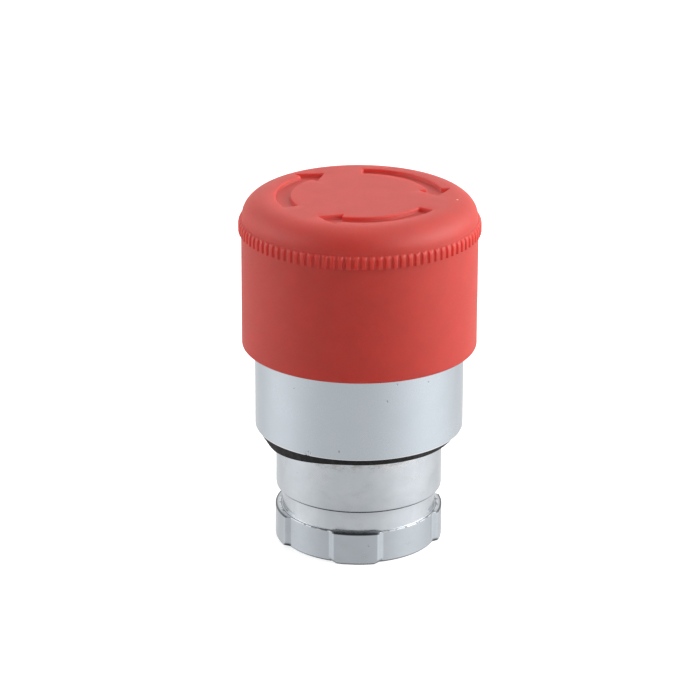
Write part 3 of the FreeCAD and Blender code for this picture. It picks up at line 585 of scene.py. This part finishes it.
def build_gasket(material):
    """Rubber ring that sags a little on both sides of the front."""
    outline = rounded(
        [
            (GASKET_INNER, 0.0, 0.1),
            (GASKET_OUTER, 0.0, 0.14),
            (GASKET_OUTER, GASKET_HIGH, 0.12),
            (GASKET_INNER, GASKET_HIGH, 0.1),
        ]
    )
    bm = bmesh.new()
    lathe(bm, outline, AXIS_COLUMNS)
    for vert in bm.verts:
        angle = math.degrees(math.atan2(vert.co.y, vert.co.x))
        out = (vert.co.xy.length - GASKET_INNER) / (GASKET_OUTER - GASKET_INNER)
        for depth, curl, start, full, ebb, end in SAGS:
            share = smooth_step(start, full, angle) - smooth_step(ebb, end, angle)
            vert.co.z -= depth * share * (1.0 - 0.5 * max(vert.co.z, 0.0) / GASKET_HIGH)
            vert.co.xy *= 1.0 - curl * share * out / GASKET_OUTER
    new_piece("gasket", bm, "housing", "black_rubber", "panel_gasket", material=material)


def lug_columns(above):
    """Column angles with how far each stands out, from band (0) to lug (1), at a height above
    the ring's foot. The lugs' lower corners are rounded, so they are narrower there."""
    short = max(LUG_CORNER - above, 0.0)
    inset = LUG_CORNER - math.sqrt(max(LUG_CORNER**2 - short**2, 0.0))
    inset = math.degrees(inset / LUG_RADIUS)
    columns = []
    for index, (middle, half) in enumerate(LUGS):
        after_middle, after_half = LUGS[(index + 1) % len(LUGS)]
        after_middle += 360.0 if after_middle < middle else 0.0
        low_side = middle - half + inset
        high_side = middle + half - inset
        for k in range(FLANK_COLUMNS):
            share = k / FLANK_COLUMNS
            columns.append((low_side + LUG_FLANK * share, lug_flank(share)))
        crest = max(24, int(half * CREST_COLUMNS_PER_DEGREE))
        span = high_side - low_side - 2 * LUG_FLANK
        for k in range(crest + 1):
            columns.append((low_side + LUG_FLANK + span * k / crest, 1.0))
        for k in range(1, FLANK_COLUMNS + 1):
            share = k / FLANK_COLUMNS
            columns.append((high_side - LUG_FLANK * (1 - share), lug_flank(1 - share)))
        gap_end = after_middle - after_half + inset
        for k in range(1, GAP_COLUMNS):
            columns.append((high_side + (gap_end - high_side) * k / GAP_COLUMNS, 0.0))
    return columns


def lug_flank(share):
    """How far a lug's sloping flank stands out, with softened ends."""
    return share * FLANK_SLOPE + smooth_step(0.0, 1.0, share) * FLANK_SOFTENING


def build_casting(material):
    """Barrel, neck and bayonet ring outside; bores and grooves inside; collar in the bezel."""
    lug_relief = LUG_RADIUS - BAND_RADIUS
    seal_floor, seal_foot, seal_top = O_RING_GROOVE
    clip_floor, clip_foot, clip_top = CIRCLIP_GROOVE
    outline = rounded(
        [
            (BORE_RADIUS, RING_LOW, 0.25),
            (BAND_RADIUS, RING_LOW, 0.22),
            (BAND_RADIUS, RING_HIGH, BAND_FILLET),
            (NECK_RADIUS, RING_HIGH, 0.06),
            (NECK_RADIUS, BARREL_LOW, 0.1),
            (BARREL_RADIUS, BARREL_LOW, 0.32),
            (BARREL_RADIUS, 0.0, 0.1),
            (RECESS_RADIUS, 0.0, 0),
            (RECESS_RADIUS, BEZEL_LOW, 0),
            (FLANGE_RADIUS, BEZEL_LOW, 0.06),
            (FLANGE_RADIUS, seal_foot, 0.06),
            (seal_floor, seal_foot, 0.1),
            (seal_floor, seal_top, 0.1),
            (FLANGE_RADIUS, seal_top, 0.06),
            (FLANGE_RADIUS, FLANGE_HIGH, 0.1),
            (COLLAR_RADIUS, FLANGE_HIGH, 0.4),
            (COLLAR_RADIUS, COLLAR_HIGH, 0.3),
            (COLLAR_BORE, COLLAR_HIGH, 0.2),
            (COLLAR_BORE, LIP_HIGH, 0.1),
            (LIP_BORE, LIP_HIGH, 0.1),
            (LIP_BORE, LIP_LOW, 0.1),
            (SPRING_BORE, LIP_LOW, 0.1),
            (SPRING_BORE, SPRING_BORE_LOW, 0),
            (BORE_RADIUS, SPRING_BORE_LOW, 0),
            (BORE_RADIUS, clip_top, 0),
            (clip_floor, clip_top, 0),
            (clip_floor, clip_foot, 0),
            (BORE_RADIUS, clip_foot, 0),
        ]
    )
    outline = with_more_rows(outline, RING_LOW, RING_HIGH)
    bm = bmesh.new()
    rings = []
    for radius, height in outline:
        in_ring = radius > NECK_RADIUS + 0.02 and height < RING_HIGH + 0.02
        columns = lug_columns(height - RING_LOW if in_ring else LUG_CORNER)
        relief = lug_relief if in_ring else 0.0
        if in_ring:
            near_top = smooth_step(NECK_RADIUS, BAND_RADIUS - BAND_FILLET, radius)
            relief *= near_top if height > RING_HIGH - 0.01 else 1.0
        rings.append(
            [bm.verts.new(on_circle(radius + relief * out, a, height)) for a, out in columns]
        )
    for first, second in zip(rings, rings[1:] + rings[:1]):
        join_rings(bm, first, second)
    new_piece(
        "casting", bm, "housing", "cast_chrome", "barrel_casting", material=material, sharp=50.0
    )


def with_more_rows(outline, foot, top):
    """Adds rows up the ring's outer wall, close together near its foot."""
    rows = [foot + LUG_CORNER * k / 8 for k in range(3, 9)] + [foot + 2.0, top - 0.6]
    result = []
    for here, after in zip(outline, outline[1:] + outline[:1]):
        result.append(here)
        wall = abs(here.x - after.x) < TINY and abs(here.x - BAND_RADIUS) < TINY
        if wall:
            result += [Vector((here.x, z)) for z in rows if here.y < z < after.y]
    return result


# ---------------------------------------------------------------- springs


def tube(bm, path, radius, sides=14):
    """Round wire along a path of points, with closed flat ends."""
    rings = []
    side = None
    for k, here in enumerate(path):
        along = (path[min(k + 1, len(path) - 1)] - path[max(k - 1, 0)]).normalized()
        if side is None:
            side = along.orthogonal().normalized()
        side = (side - along * side.dot(along)).normalized()
        up = along.cross(side)
        ring = []
        for s in range(sides):
            turn = 2 * math.pi * s / sides
            place = here + side * math.cos(turn) * radius + up * math.sin(turn) * radius
            ring.append(bm.verts.new(place))
        rings.append(ring)
    for first, second in zip(rings, rings[1:]):
        join_rings(bm, first, second)
    bm.faces.new(rings[0])
    bm.faces.new(rings[-1])


def build_return_spring(material):
    """Compression spring with a closed coil at each end."""
    foot, top = low("return_spring"), high("return_spring")
    wire = 0.45
    mean = top.x - wire
    closed_turns = 0.8
    active_turns = 2.2
    steps_per_turn = 48
    softening = 0.35  # share of the pitch that changes gradually
    turns = closed_turns * 2 + active_turns
    bottom = foot.z + wire
    rise = top.z - foot.z - 2 * wire
    steps = int(turns * steps_per_turn)
    path = []
    for k in range(steps + 1):
        turn = turns * k / steps
        share = smooth_step(closed_turns, closed_turns + active_turns, turn)
        linear = min(max((turn - closed_turns) / active_turns, 0.0), 1.0)
        share = softening * share + (1.0 - softening) * linear
        path.append(on_circle(mean, 360.0 * turn, bottom + rise * share))
    bm = bmesh.new()
    tube(bm, path, wire)
    spring = new_piece(
        "return_coil", bm, "housing", "spring_steel", "return_spring", material=material
    )
    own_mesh(spring)


def build_torsion_spring(material):
    """Torsion spring with a short straight leg at each end."""
    foot, top = low("torsion_spring"), high("torsion_spring")
    wire = 0.3
    mean = top.x - wire
    turns = 5.25
    steps_per_turn = 40
    lower_leg = 0.38
    upper_leg = 0.4
    rise = top.z - foot.z - 2 * wire
    steps = int(turns * steps_per_turn)
    coil = [
        on_circle(mean, 360.0 * turns * k / steps, foot.z + wire + rise * k / steps)
        for k in range(steps + 1)
    ]
    path = [
        coil[0] - Vector((0, 0, lower_leg)),
        *coil,
        coil[-1] + Vector((0, 0, upper_leg)),
    ]
    bm = bmesh.new()
    tube(bm, path, wire, sides=12)
    new_piece(
        "torsion_coil", bm, "plunger", "spring_steel", "torsion_spring", material=material
    )


# ---------------------------------------------------------------- materials


class Nodes:
    """Short calls for making and joining the nodes of one tree."""

    def __init__(self, tree):
        self.tree = tree

    def node(self, kind, **settings):
        made = self.tree.nodes.new(kind)
        for key, value in settings.items():
            setattr(made, key, value)
        return made

    def link(self, source, target):
        self.tree.links.new(source, target)

    def fill(self, target, value):
        """Sets a socket to a number, or joins it to another socket."""
        if isinstance(value, (int, float)):
            target.default_value = value
        else:
            self.link(value, target)

    def math(self, operation, first, second):
        made = self.node("ShaderNodeMath", operation=operation)
        self.fill(made.inputs[0], first)
        self.fill(made.inputs[1], second)
        return made.outputs[0]

    def product(self, first, *others):
        for other in others:
            first = self.math("MULTIPLY", first, other)
        return first

    def ramp(self, source, start, end, low_value=0.0, high_value=1.0):
        """Maps a value from start..end to low_value..high_value, smoothly."""
        made = self.node("ShaderNodeMapRange", interpolation_type="SMOOTHSTEP")
        made.inputs["From Min"].default_value = start
        made.inputs["From Max"].default_value = end
        made.inputs["To Min"].default_value = low_value
        made.inputs["To Max"].default_value = high_value
        self.link(source, made.inputs["Value"])
        return made.outputs["Result"]


class Shader(Nodes):
    """A material on one Principled shader. Places and sizes are in millimetres."""

    def __init__(self, name, color, roughness, metallic=0.0, specular=0.5):
        self.material = bpy.data.materials.new(name)
        self.material.use_nodes = True
        super().__init__(self.material.node_tree)
        self.shader = self.tree.nodes["Principled BSDF"]
        self.constant("Base Color", (*color, 1.0))
        self.constant("Roughness", roughness)
        self.constant("Metallic", metallic)
        self.constant("Specular IOR Level", specular)
        self.place = self.node("ShaderNodeTexCoord").outputs["Object"]
        self.normal = None

    def constant(self, socket, value):
        self.shader.inputs[socket].default_value = value

    def set(self, socket, source):
        self.link(source, self.shader.inputs[socket])

    def stretched(self, scale):
        mapping = self.node("ShaderNodeMapping")
        mapping.inputs["Scale"].default_value = scale
        self.link(self.place, mapping.inputs["Vector"])
        return mapping.outputs["Vector"]

    def noise(self, size_mm, detail=3.0, rough=0.5, stretch=(1, 1, 1), distortion=0.0):
        """Noise whose features are about size_mm across."""
        made = self.node("ShaderNodeTexNoise")
        made.inputs["Scale"].default_value = 1.0 / (size_mm * MM)
        made.inputs["Detail"].default_value = detail
        made.inputs["Roughness"].default_value = rough
        made.inputs["Distortion"].default_value = distortion
        self.link(self.stretched(stretch), made.inputs["Vector"])
        return made.outputs["Fac"]

    def mix(self, factor, first, second):
        """Colour mix; each colour is a socket or three numbers."""
        made = self.node("ShaderNodeMix", data_type="RGBA")
        for socket, value in ((made.inputs[6], first), (made.inputs[7], second)):
            if isinstance(value, tuple):
                socket.default_value = (*value, 1.0)
            else:
                self.link(value, socket)
        self.link(factor, made.inputs[0])
        return made.outputs[2]

    def specks(self, size_mm, reach, share):
        """1 in small round spots, in a grid of cells about size_mm wide. reach is a spot's radius
        in cell widths, share how many cells have one."""
        cells = self.node("ShaderNodeTexVoronoi")
        cells.inputs["Scale"].default_value = 1.0 / (size_mm * MM)
        self.link(self.place, cells.inputs["Vector"])
        split = self.node("ShaderNodeSeparateColor")
        self.link(cells.outputs["Color"], split.inputs[0])
        spot = self.ramp(cells.outputs["Distance"], reach * 0.6, reach, 1.0, 0.0)
        return self.product(spot, self.ramp(split.outputs[0], share - 0.01, share, 1.0, 0.0))

    def spot(self, place, radius, core=0.5):
        """1 inside a soft round spot. core is the share of its radius that is full."""
        apart = self.node("ShaderNodeVectorMath", operation="DISTANCE")
        self.link(self.place, apart.inputs[0])
        apart.inputs[1].default_value = Vector(place) * MM
        return self.ramp(apart.outputs["Value"], radius * core * MM, radius * MM, 1.0, 0.0)

    def height_band(self, start, full):
        """0 at one height and 1 at the other; start may be the higher one."""
        split = self.node("ShaderNodeSeparateXYZ")
        self.link(self.place, split.inputs[0])
        return self.ramp(split.outputs["Z"], start * MM, full * MM)

    def out_from_axis(self, start, full):
        """0 at one distance from the part's axis and 1 at the other."""
        flat = self.node("ShaderNodeVectorMath", operation="MULTIPLY")
        self.link(self.place, flat.inputs[0])
        flat.inputs[1].default_value = (1.0, 1.0, 0.0)
        long = self.node("ShaderNodeVectorMath", operation="LENGTH")
        self.link(flat.outputs["Vector"], long.inputs[0])
        return self.ramp(long.outputs["Value"], start * MM, full * MM)

    def bump(self, source, depth_mm):
        """Relief on top of what the material has already."""
        made = self.node("ShaderNodeBump")
        made.inputs["Distance"].default_value = depth_mm * MM
        made.inputs["Strength"].default_value = 1.0
        self.link(source, made.inputs["Height"])
        if self.normal is not None:
            self.link(self.normal, made.inputs["Normal"])
        self.normal = made.outputs["Normal"]
        self.set("Normal", self.normal)


def make_red_plastic():
    """Matte moulded plastic that lets red light through: fine grain, faint clouding and dust."""
    m = Shader("red_plastic", (0.68, 0.039, 0.021), 0.6, specular=1.0)
    m.constant("Sheen Weight", 0.08)
    m.constant("Sheen Roughness", 0.3)
    m.constant("Subsurface Weight", 1.0)
    m.constant("Subsurface Radius", (1.0, 0.12, 0.06))
    m.constant("Subsurface Scale", 2.2 * MM)
    clouds = m.noise(3.0, detail=4.0)
    dust = m.product(m.specks(2.6, 0.045, 0.05), 0.5)
    dust = m.math("ADD", dust, m.spot(DUST_PLACE, DUST_RADIUS))
    base = m.mix(m.ramp(clouds, 0.3, 0.7), (0.66, 0.038, 0.02), (0.7, 0.042, 0.023))
    m.set("Base Color", m.mix(dust, base, (0.95, 0.75, 0.7)))
    grain = m.noise(0.16, detail=2.0)
    m.set("Roughness", m.ramp(grain, 0.25, 0.75, 0.52, 0.64))
    m.bump(grain, 0.004)
    m.bump(clouds, 0.005)
    return m.material


# Painted highlight: near-white colour that stands in for bright reflections on the chrome's edges.
PAINTED_HIGHLIGHT = (0.97, 0.97, 0.98)


def make_satin_chrome():
    """Polished and plated sleeve: faint haze, fine marks, a few small pits, and a painted highlight
    along its lower edge.
    """
    m = Shader("satin_chrome", (0.62, 0.67, 0.72), 0.24, metallic=1.0)
    pits = m.specks(2.2, 0.05, 0.06)
    for angle, height, radius in BEZEL_PITS:
        pits = m.math("MAXIMUM", pits, m.spot(on_circle(BEZEL_RADIUS, angle, height), radius))
    haze = m.noise(5.0, detail=4.0)
    base = m.mix(m.ramp(haze, 0.3, 0.7), (0.61, 0.665, 0.715), (0.64, 0.692, 0.745))
    # Painted highlight: the colour just above the lower edge is lifted towards white.
    edge = m.height_band(BEZEL_LOW + 0.18, BEZEL_LOW + 0.1)
    base = m.mix(m.product(edge, 0.8), base, PAINTED_HIGHLIGHT)
    m.set("Base Color", m.mix(m.product(pits, 0.5), base, (0.3, 0.34, 0.4)))
    marks = m.noise(0.25, detail=3.0, stretch=(1, 1, 7))
    m.set("Roughness", m.ramp(m.math("ADD", haze, marks), 0.7, 1.3, 0.22, 0.28))
    m.bump(pits, -0.02)
    return m.material


def rubbed_marks(m):
    """Where the barrel is rubbed, in front and just under the gasket."""
    marks = m.noise(0.9, detail=4.0, rough=0.65, stretch=(1, 1, 2.5))
    places = [m.spot(on_circle(BARREL_RADIUS, angle, 0.0), 6.0, 0.3) for angle in SCUFF_ANGLES]
    near = m.math("MAXIMUM", *places)
    return m.product(m.ramp(marks, 0.42, 0.56), m.height_band(-2.4, -0.9), near)


def ledge_painted_shade(m, light_breakup, on_lug):
    """Painted shade on the bayonet ring's top: all over the front lug, for the dark reflection of
    the shaded neck; darker along the outer edge of the others; and in flecks on the band between
    them, which break up its highlight."""
    top = RING_HIGH
    ledge = m.product(m.height_band(top - 0.2, top - 0.08), m.height_band(-9.0, -10.0))
    # Painted dark reflection over the front lug's top, for the shaded neck and barrel underside it
    # would reflect.
    front = m.spot(on_circle(BAND_RADIUS, -90.0, top), 3.1, 0.9)
    front = m.product(front, m.out_from_axis(BAND_RADIUS - 0.08, BAND_RADIUS))
    edge = m.out_from_axis(BAND_RADIUS + 0.25, BAND_RADIUS + 0.45)
    # Painted shade in flecks, breaking up the highlight on the ledge.
    shade_fleck = m.product(
        m.ramp(light_breakup, 0.48, 0.62, 0.6, 0.85),
        m.out_from_axis(NECK_RADIUS + 0.03, NECK_RADIUS + 0.08),
        m.math("SUBTRACT", 1.0, m.product(on_lug, 0.6)),
    )
    return m.product(ledge, m.math("MAXIMUM", m.math("MAXIMUM", edge, front), shade_fleck))


def corner_glint(m, light_breakup, on_lug):
    """Painted highlight: the broken bright line along the top corner of the ring's band."""
    top = RING_HIGH
    return m.product(
        m.math("SUBTRACT", m.out_from_axis(BAND_RADIUS - 0.1, BAND_RADIUS - 0.05), on_lug),
        m.height_band(top - 0.2, top - 0.12),
        m.ramp(light_breakup, 0.5, 0.6, 0.5, 0.1),
        m.height_band(top + 0.2, top + 0.1),
    )


def make_cast_chrome():
    """Plated casting: cloudy patches, painted shade on the ring, scuffs under the gasket, painted
    shade on the ring's top and a painted highlight on its top corner.
    """
    m = Shader("cast_chrome", (0.64, 0.68, 0.72), 0.25, metallic=1.0)
    clouds = m.noise(4.5, detail=5.0, rough=0.6, distortion=0.6)
    stain = m.noise(2.2, detail=4.0, stretch=(1, 1, 1.6))
    pits = m.specks(1.6, 0.07, 0.1)
    base = m.mix(m.ramp(clouds, 0.35, 0.65), (0.61, 0.65, 0.69), (0.67, 0.705, 0.745))
    base = m.mix(m.ramp(stain, 0.55, 0.75, 0.0, 0.35), base, (0.58, 0.6, 0.61))
    # Painted shade: the ring below its top is darkened, for the shadowed table it would reflect.
    ring_shade = m.height_band(RING_HIGH - 0.02, RING_HIGH - 0.25)
    base = m.mix(m.product(ring_shade, 0.65), base, (0.48, 0.525, 0.565))
    scuff = rubbed_marks(m)
    tint = m.noise(1.3, detail=2.0, stretch=(1, 1, 1.5))
    tint = m.mix(m.ramp(tint, 0.4, 0.6), (0.5, 0.46, 0.43), (0.9, 0.87, 0.84))
    base = m.mix(m.product(scuff, 0.6), base, tint)
    # Noise that breaks up the painted shade and the painted highlight on the ring's top.
    light_breakup = m.noise(0.7, detail=3.0)
    on_lug = m.out_from_axis(BAND_RADIUS, BAND_RADIUS + 0.2)
    ledge_shade = ledge_painted_shade(m, light_breakup, on_lug)
    # Painted shade: darkens the ring's top towards near-black.
    base = m.mix(m.product(ledge_shade, 0.85), base, (0.05, 0.055, 0.06))
    base = m.mix(corner_glint(m, light_breakup, on_lug), base, PAINTED_HIGHLIGHT)
    m.set("Base Color", m.mix(m.product(pits, 0.5), base, (0.28, 0.28, 0.28)))
    rough = m.ramp(m.math("ADD", clouds, stain), 0.7, 1.3, 0.16, 0.28)
    m.set("Roughness", m.math("ADD", rough, m.product(scuff, 0.2)))
    m.bump(m.noise(1.6, detail=3.0), 0.006)
    m.bump(pits, -0.03)
    return m.material


def make_black_rubber():
    m = Shader("black_rubber", (0.012, 0.012, 0.012), 0.6, specular=0.35)
    dust = m.noise(0.8, detail=5.0)
    m.set("Base Color", m.mix(m.ramp(dust, 0.4, 0.75), (0.011, 0.011, 0.012), (0.03, 0.03, 0.03)))
    grain = m.noise(0.12, detail=2.0)
    m.set("Roughness", m.ramp(grain, 0.3, 0.7, 0.52, 0.7))
    m.bump(grain, 0.01)
    return m.material


def make_moulded(name, light, dark, roughness):
    """Plain moulded plastic with a fine grain and faint flow marks."""
    m = Shader(name, light, roughness)
    flow = m.noise(2.5, detail=3.0, stretch=(1, 1, 0.4), distortion=1.0)
    m.set("Base Color", m.mix(m.ramp(flow, 0.3, 0.7), dark, light))
    grain = m.noise(0.15, detail=2.0)
    m.set("Roughness", m.ramp(grain, 0.3, 0.7, roughness - 0.05, roughness + 0.08))
    m.bump(grain, 0.005)
    return m.material


def make_metal(name, light, dark, roughness, grain_mm, stretch):
    """Bare or plated metal with drawn or turned marks along the stretch."""
    m = Shader(name, light, roughness, metallic=1.0)
    tone = m.noise(1.8, detail=4.0)
    m.set("Base Color", m.mix(m.ramp(tone, 0.3, 0.7), dark, light))
    marks = m.noise(grain_mm, detail=3.0, stretch=stretch)
    m.set("Roughness", m.ramp(marks, 0.3, 0.7, roughness - 0.08, roughness + 0.1))
    m.bump(marks, 0.004)
    return m.material


# Moulded plastics: light colour, dark colour, roughness.
MOULDED = {
    "white_acetal": ((0.78, 0.77, 0.73), (0.72, 0.71, 0.67), 0.4),
    "black_nylon": ((0.035, 0.035, 0.037), (0.022, 0.022, 0.024), 0.45),
}
# Metals: light colour, dark colour, roughness, width of the marks, how far they are drawn out.
METALS = {
    "spring_steel": ((0.5, 0.49, 0.48), (0.4, 0.39, 0.38), 0.32, 0.12, (1, 1, 3)),
    "bright_steel": ((0.66, 0.66, 0.67), (0.58, 0.58, 0.59), 0.25, 0.1, (1, 1, 4)),
    "zinc_steel": ((0.64, 0.65, 0.66), (0.54, 0.55, 0.57), 0.35, 0.2, (1, 1, 2)),
    "brass": ((0.78, 0.58, 0.28), (0.7, 0.5, 0.22), 0.28, 0.1, (1, 1, 5)),
}


def make_materials():
    made = {
        "red_plastic": make_red_plastic(),
        "satin_chrome": make_satin_chrome(),
        "cast_chrome": make_cast_chrome(),
        "black_rubber": make_black_rubber(),
    }
    made.update((name, make_moulded(name, *looks)) for name, looks in MOULDED.items())
    made.update((name, make_metal(name, *looks)) for name, looks in METALS.items())
    return made


def dress_frame(materials):
    """Gives each CAD node the material of its slot."""
    slots = {s["node"]: s["material_slot"] for s in frame["record"]["subparts"]}
    for name, node in frame["nodes"].items():
        material = materials[slots[name]]
        if not node.data.materials:
            node.data.materials.append(material)
        for index in range(len(node.data.materials)):
            node.data.materials[index] = material


# ---------------------------------------------------------------- studio


FLOOR_REACH = 2.0  # metres
FLOOR_GAP = 0.02
BACKDROP = 1.05


def add_floor():
    """White floor just under the ring. It lights nothing and shows in no reflection, because the
    sky below the horizon stands for the table's light."""
    bm = bmesh.new()
    bmesh.ops.create_grid(bm, x_segments=2, y_segments=2, size=FLOOR_REACH)
    mesh = mesh_from("floor", bm)
    floor = bpy.data.objects.new("floor", mesh)
    floor.location.z = RING_LOW * MM - FLOOR_GAP * MM
    bpy.context.scene.collection.objects.link(floor)
    paint = Shader("floor_white", (0.93, 0.93, 0.93), 0.9, specular=0.0)
    paint.constant("Emission Color", (1.0, 1.0, 1.0, 1.0))
    paint.constant("Emission Strength", 0.6)
    mesh.materials.append(paint.material)
    floor.visible_glossy = False
    floor.visible_diffuse = False


class Sky(Nodes):
    """The studio's surroundings, as sums of soft patches of light round chosen directions."""

    def __init__(self, name):
        world = bpy.data.worlds.new(name)
        bpy.context.scene.world = world
        world.use_nodes = True
        super().__init__(world.node_tree)
        self.place = self.node("ShaderNodeTexCoord").outputs["Generated"]

    def along(self, direction):
        """How far the looked-at direction runs along the given one, from -1 to 1."""
        dot = self.node("ShaderNodeVectorMath", operation="DOT_PRODUCT")
        dot.inputs[1].default_value = Vector(direction).normalized()
        self.link(self.place, dot.inputs[0])
        return dot.outputs["Value"]

    def patches(self, base, patches):
        total = base
        for direction, power, strength in patches:
            near = self.math("MAXIMUM", self.along(direction), 0.0)
            lobe = self.product(self.math("POWER", near, power), strength)
            total = self.math("ADD", lobe, total)
        return total

    def light(self, strength):
        made = self.node("ShaderNodeBackground")
        made.inputs["Color"].default_value = (1.0, 1.0, 1.0, 1.0)
        self.fill(made.inputs["Strength"], strength)
        return made.outputs[0]


# Each patch of light: its direction, how tight it is, and its strength.
TABLE_BASE = 0.68
TABLE_PATCHES = (
    ((1.0, -0.03, -0.3), 3.0, 0.44),
    ((-1.0, 0.1, -0.3), 6.0, 0.29),
    ((0.0, 1.0, -0.3), 8.0, 0.2),
)
ROOM_BASE = 0.15
ROOM_PATCHES = (
    ((1.0, -0.05, 0.35), 6.0, 4.4),
    ((-1.0, 0.0, 0.15), 7.0, 2.6),
    ((0.0, 1.0, 0.5), 2.0, 0.85),
)
NADIR_SHADE = 0.9  # how much darker the table is right under the part


def add_sky():
    """White table below, white backdrop behind, a softbox on each side and a dark room in front."""
    sky = Sky("studio")
    table = sky.patches(TABLE_BASE, TABLE_PATCHES)
    under = sky.product(sky.ramp(sky.along((0, 0, -1)), 0.45, 0.85), -NADIR_SHADE)
    table = sky.product(table, sky.math("ADD", under, 1.0))
    above = sky.ramp(sky.along((0, 0, 1)), -0.06, 0.12)
    room = sky.product(sky.patches(ROOM_BASE, ROOM_PATCHES), above)
    table = sky.product(table, sky.math("SUBTRACT", 1.0, above))
    mix = sky.node("ShaderNodeMixShader")
    seen = sky.node("ShaderNodeLightPath").outputs["Is Camera Ray"]
    sky.link(seen, mix.inputs[0])
    sky.link(sky.light(sky.math("ADD", room, table)), mix.inputs[1])
    sky.link(sky.light(BACKDROP), mix.inputs[2])
    sky.link(mix.outputs[0], sky.tree.nodes["World Output"].inputs["Surface"])


# The camera's turns are in degrees, its lens and sensor in millimetres.
CAMERA_PLACE = Vector((14.4, -434.7, 178.5))
CAMERA_HEADING = 2.058
CAMERA_PITCH = 21.065
CAMERA_ROLL = 0.21
CAMERA_LENS = 182.0
CAMERA_SENSOR = 36.0
CAMERA_NEAR = 0.01  # metres


def add_camera():
    data = bpy.data.cameras.new("camera")
    data.lens = CAMERA_LENS
    data.sensor_width = CAMERA_SENSOR
    data.clip_start = CAMERA_NEAR
    camera = bpy.data.objects.new("camera", data)
    bpy.context.scene.collection.objects.link(camera)
    turn = Matrix.Rotation(math.radians(CAMERA_HEADING), 4, "Z")
    tilt = Matrix.Rotation(math.radians(90.0 - CAMERA_PITCH), 4, "X")
    roll = Matrix.Rotation(math.radians(CAMERA_ROLL), 4, "Z")
    camera.matrix_world = Matrix.Translation(CAMERA_PLACE * MM) @ turn @ tilt @ roll
    bpy.context.scene.camera = camera


# ---------------------------------------------------------------- the scene

bpy.context.scene.view_settings.view_transform = "Standard"
add_camera()
add_sky()
add_floor()

materials = make_materials()
dress_frame(materials)
build_cap(materials["red_plastic"])
build_stiffeners(materials["red_plastic"])
build_bezel(materials["satin_chrome"])
build_gasket(materials["black_rubber"])
build_casting(materials["cast_chrome"])
build_return_spring(materials["spring_steel"])
build_torsion_spring(materials["spring_steel"])
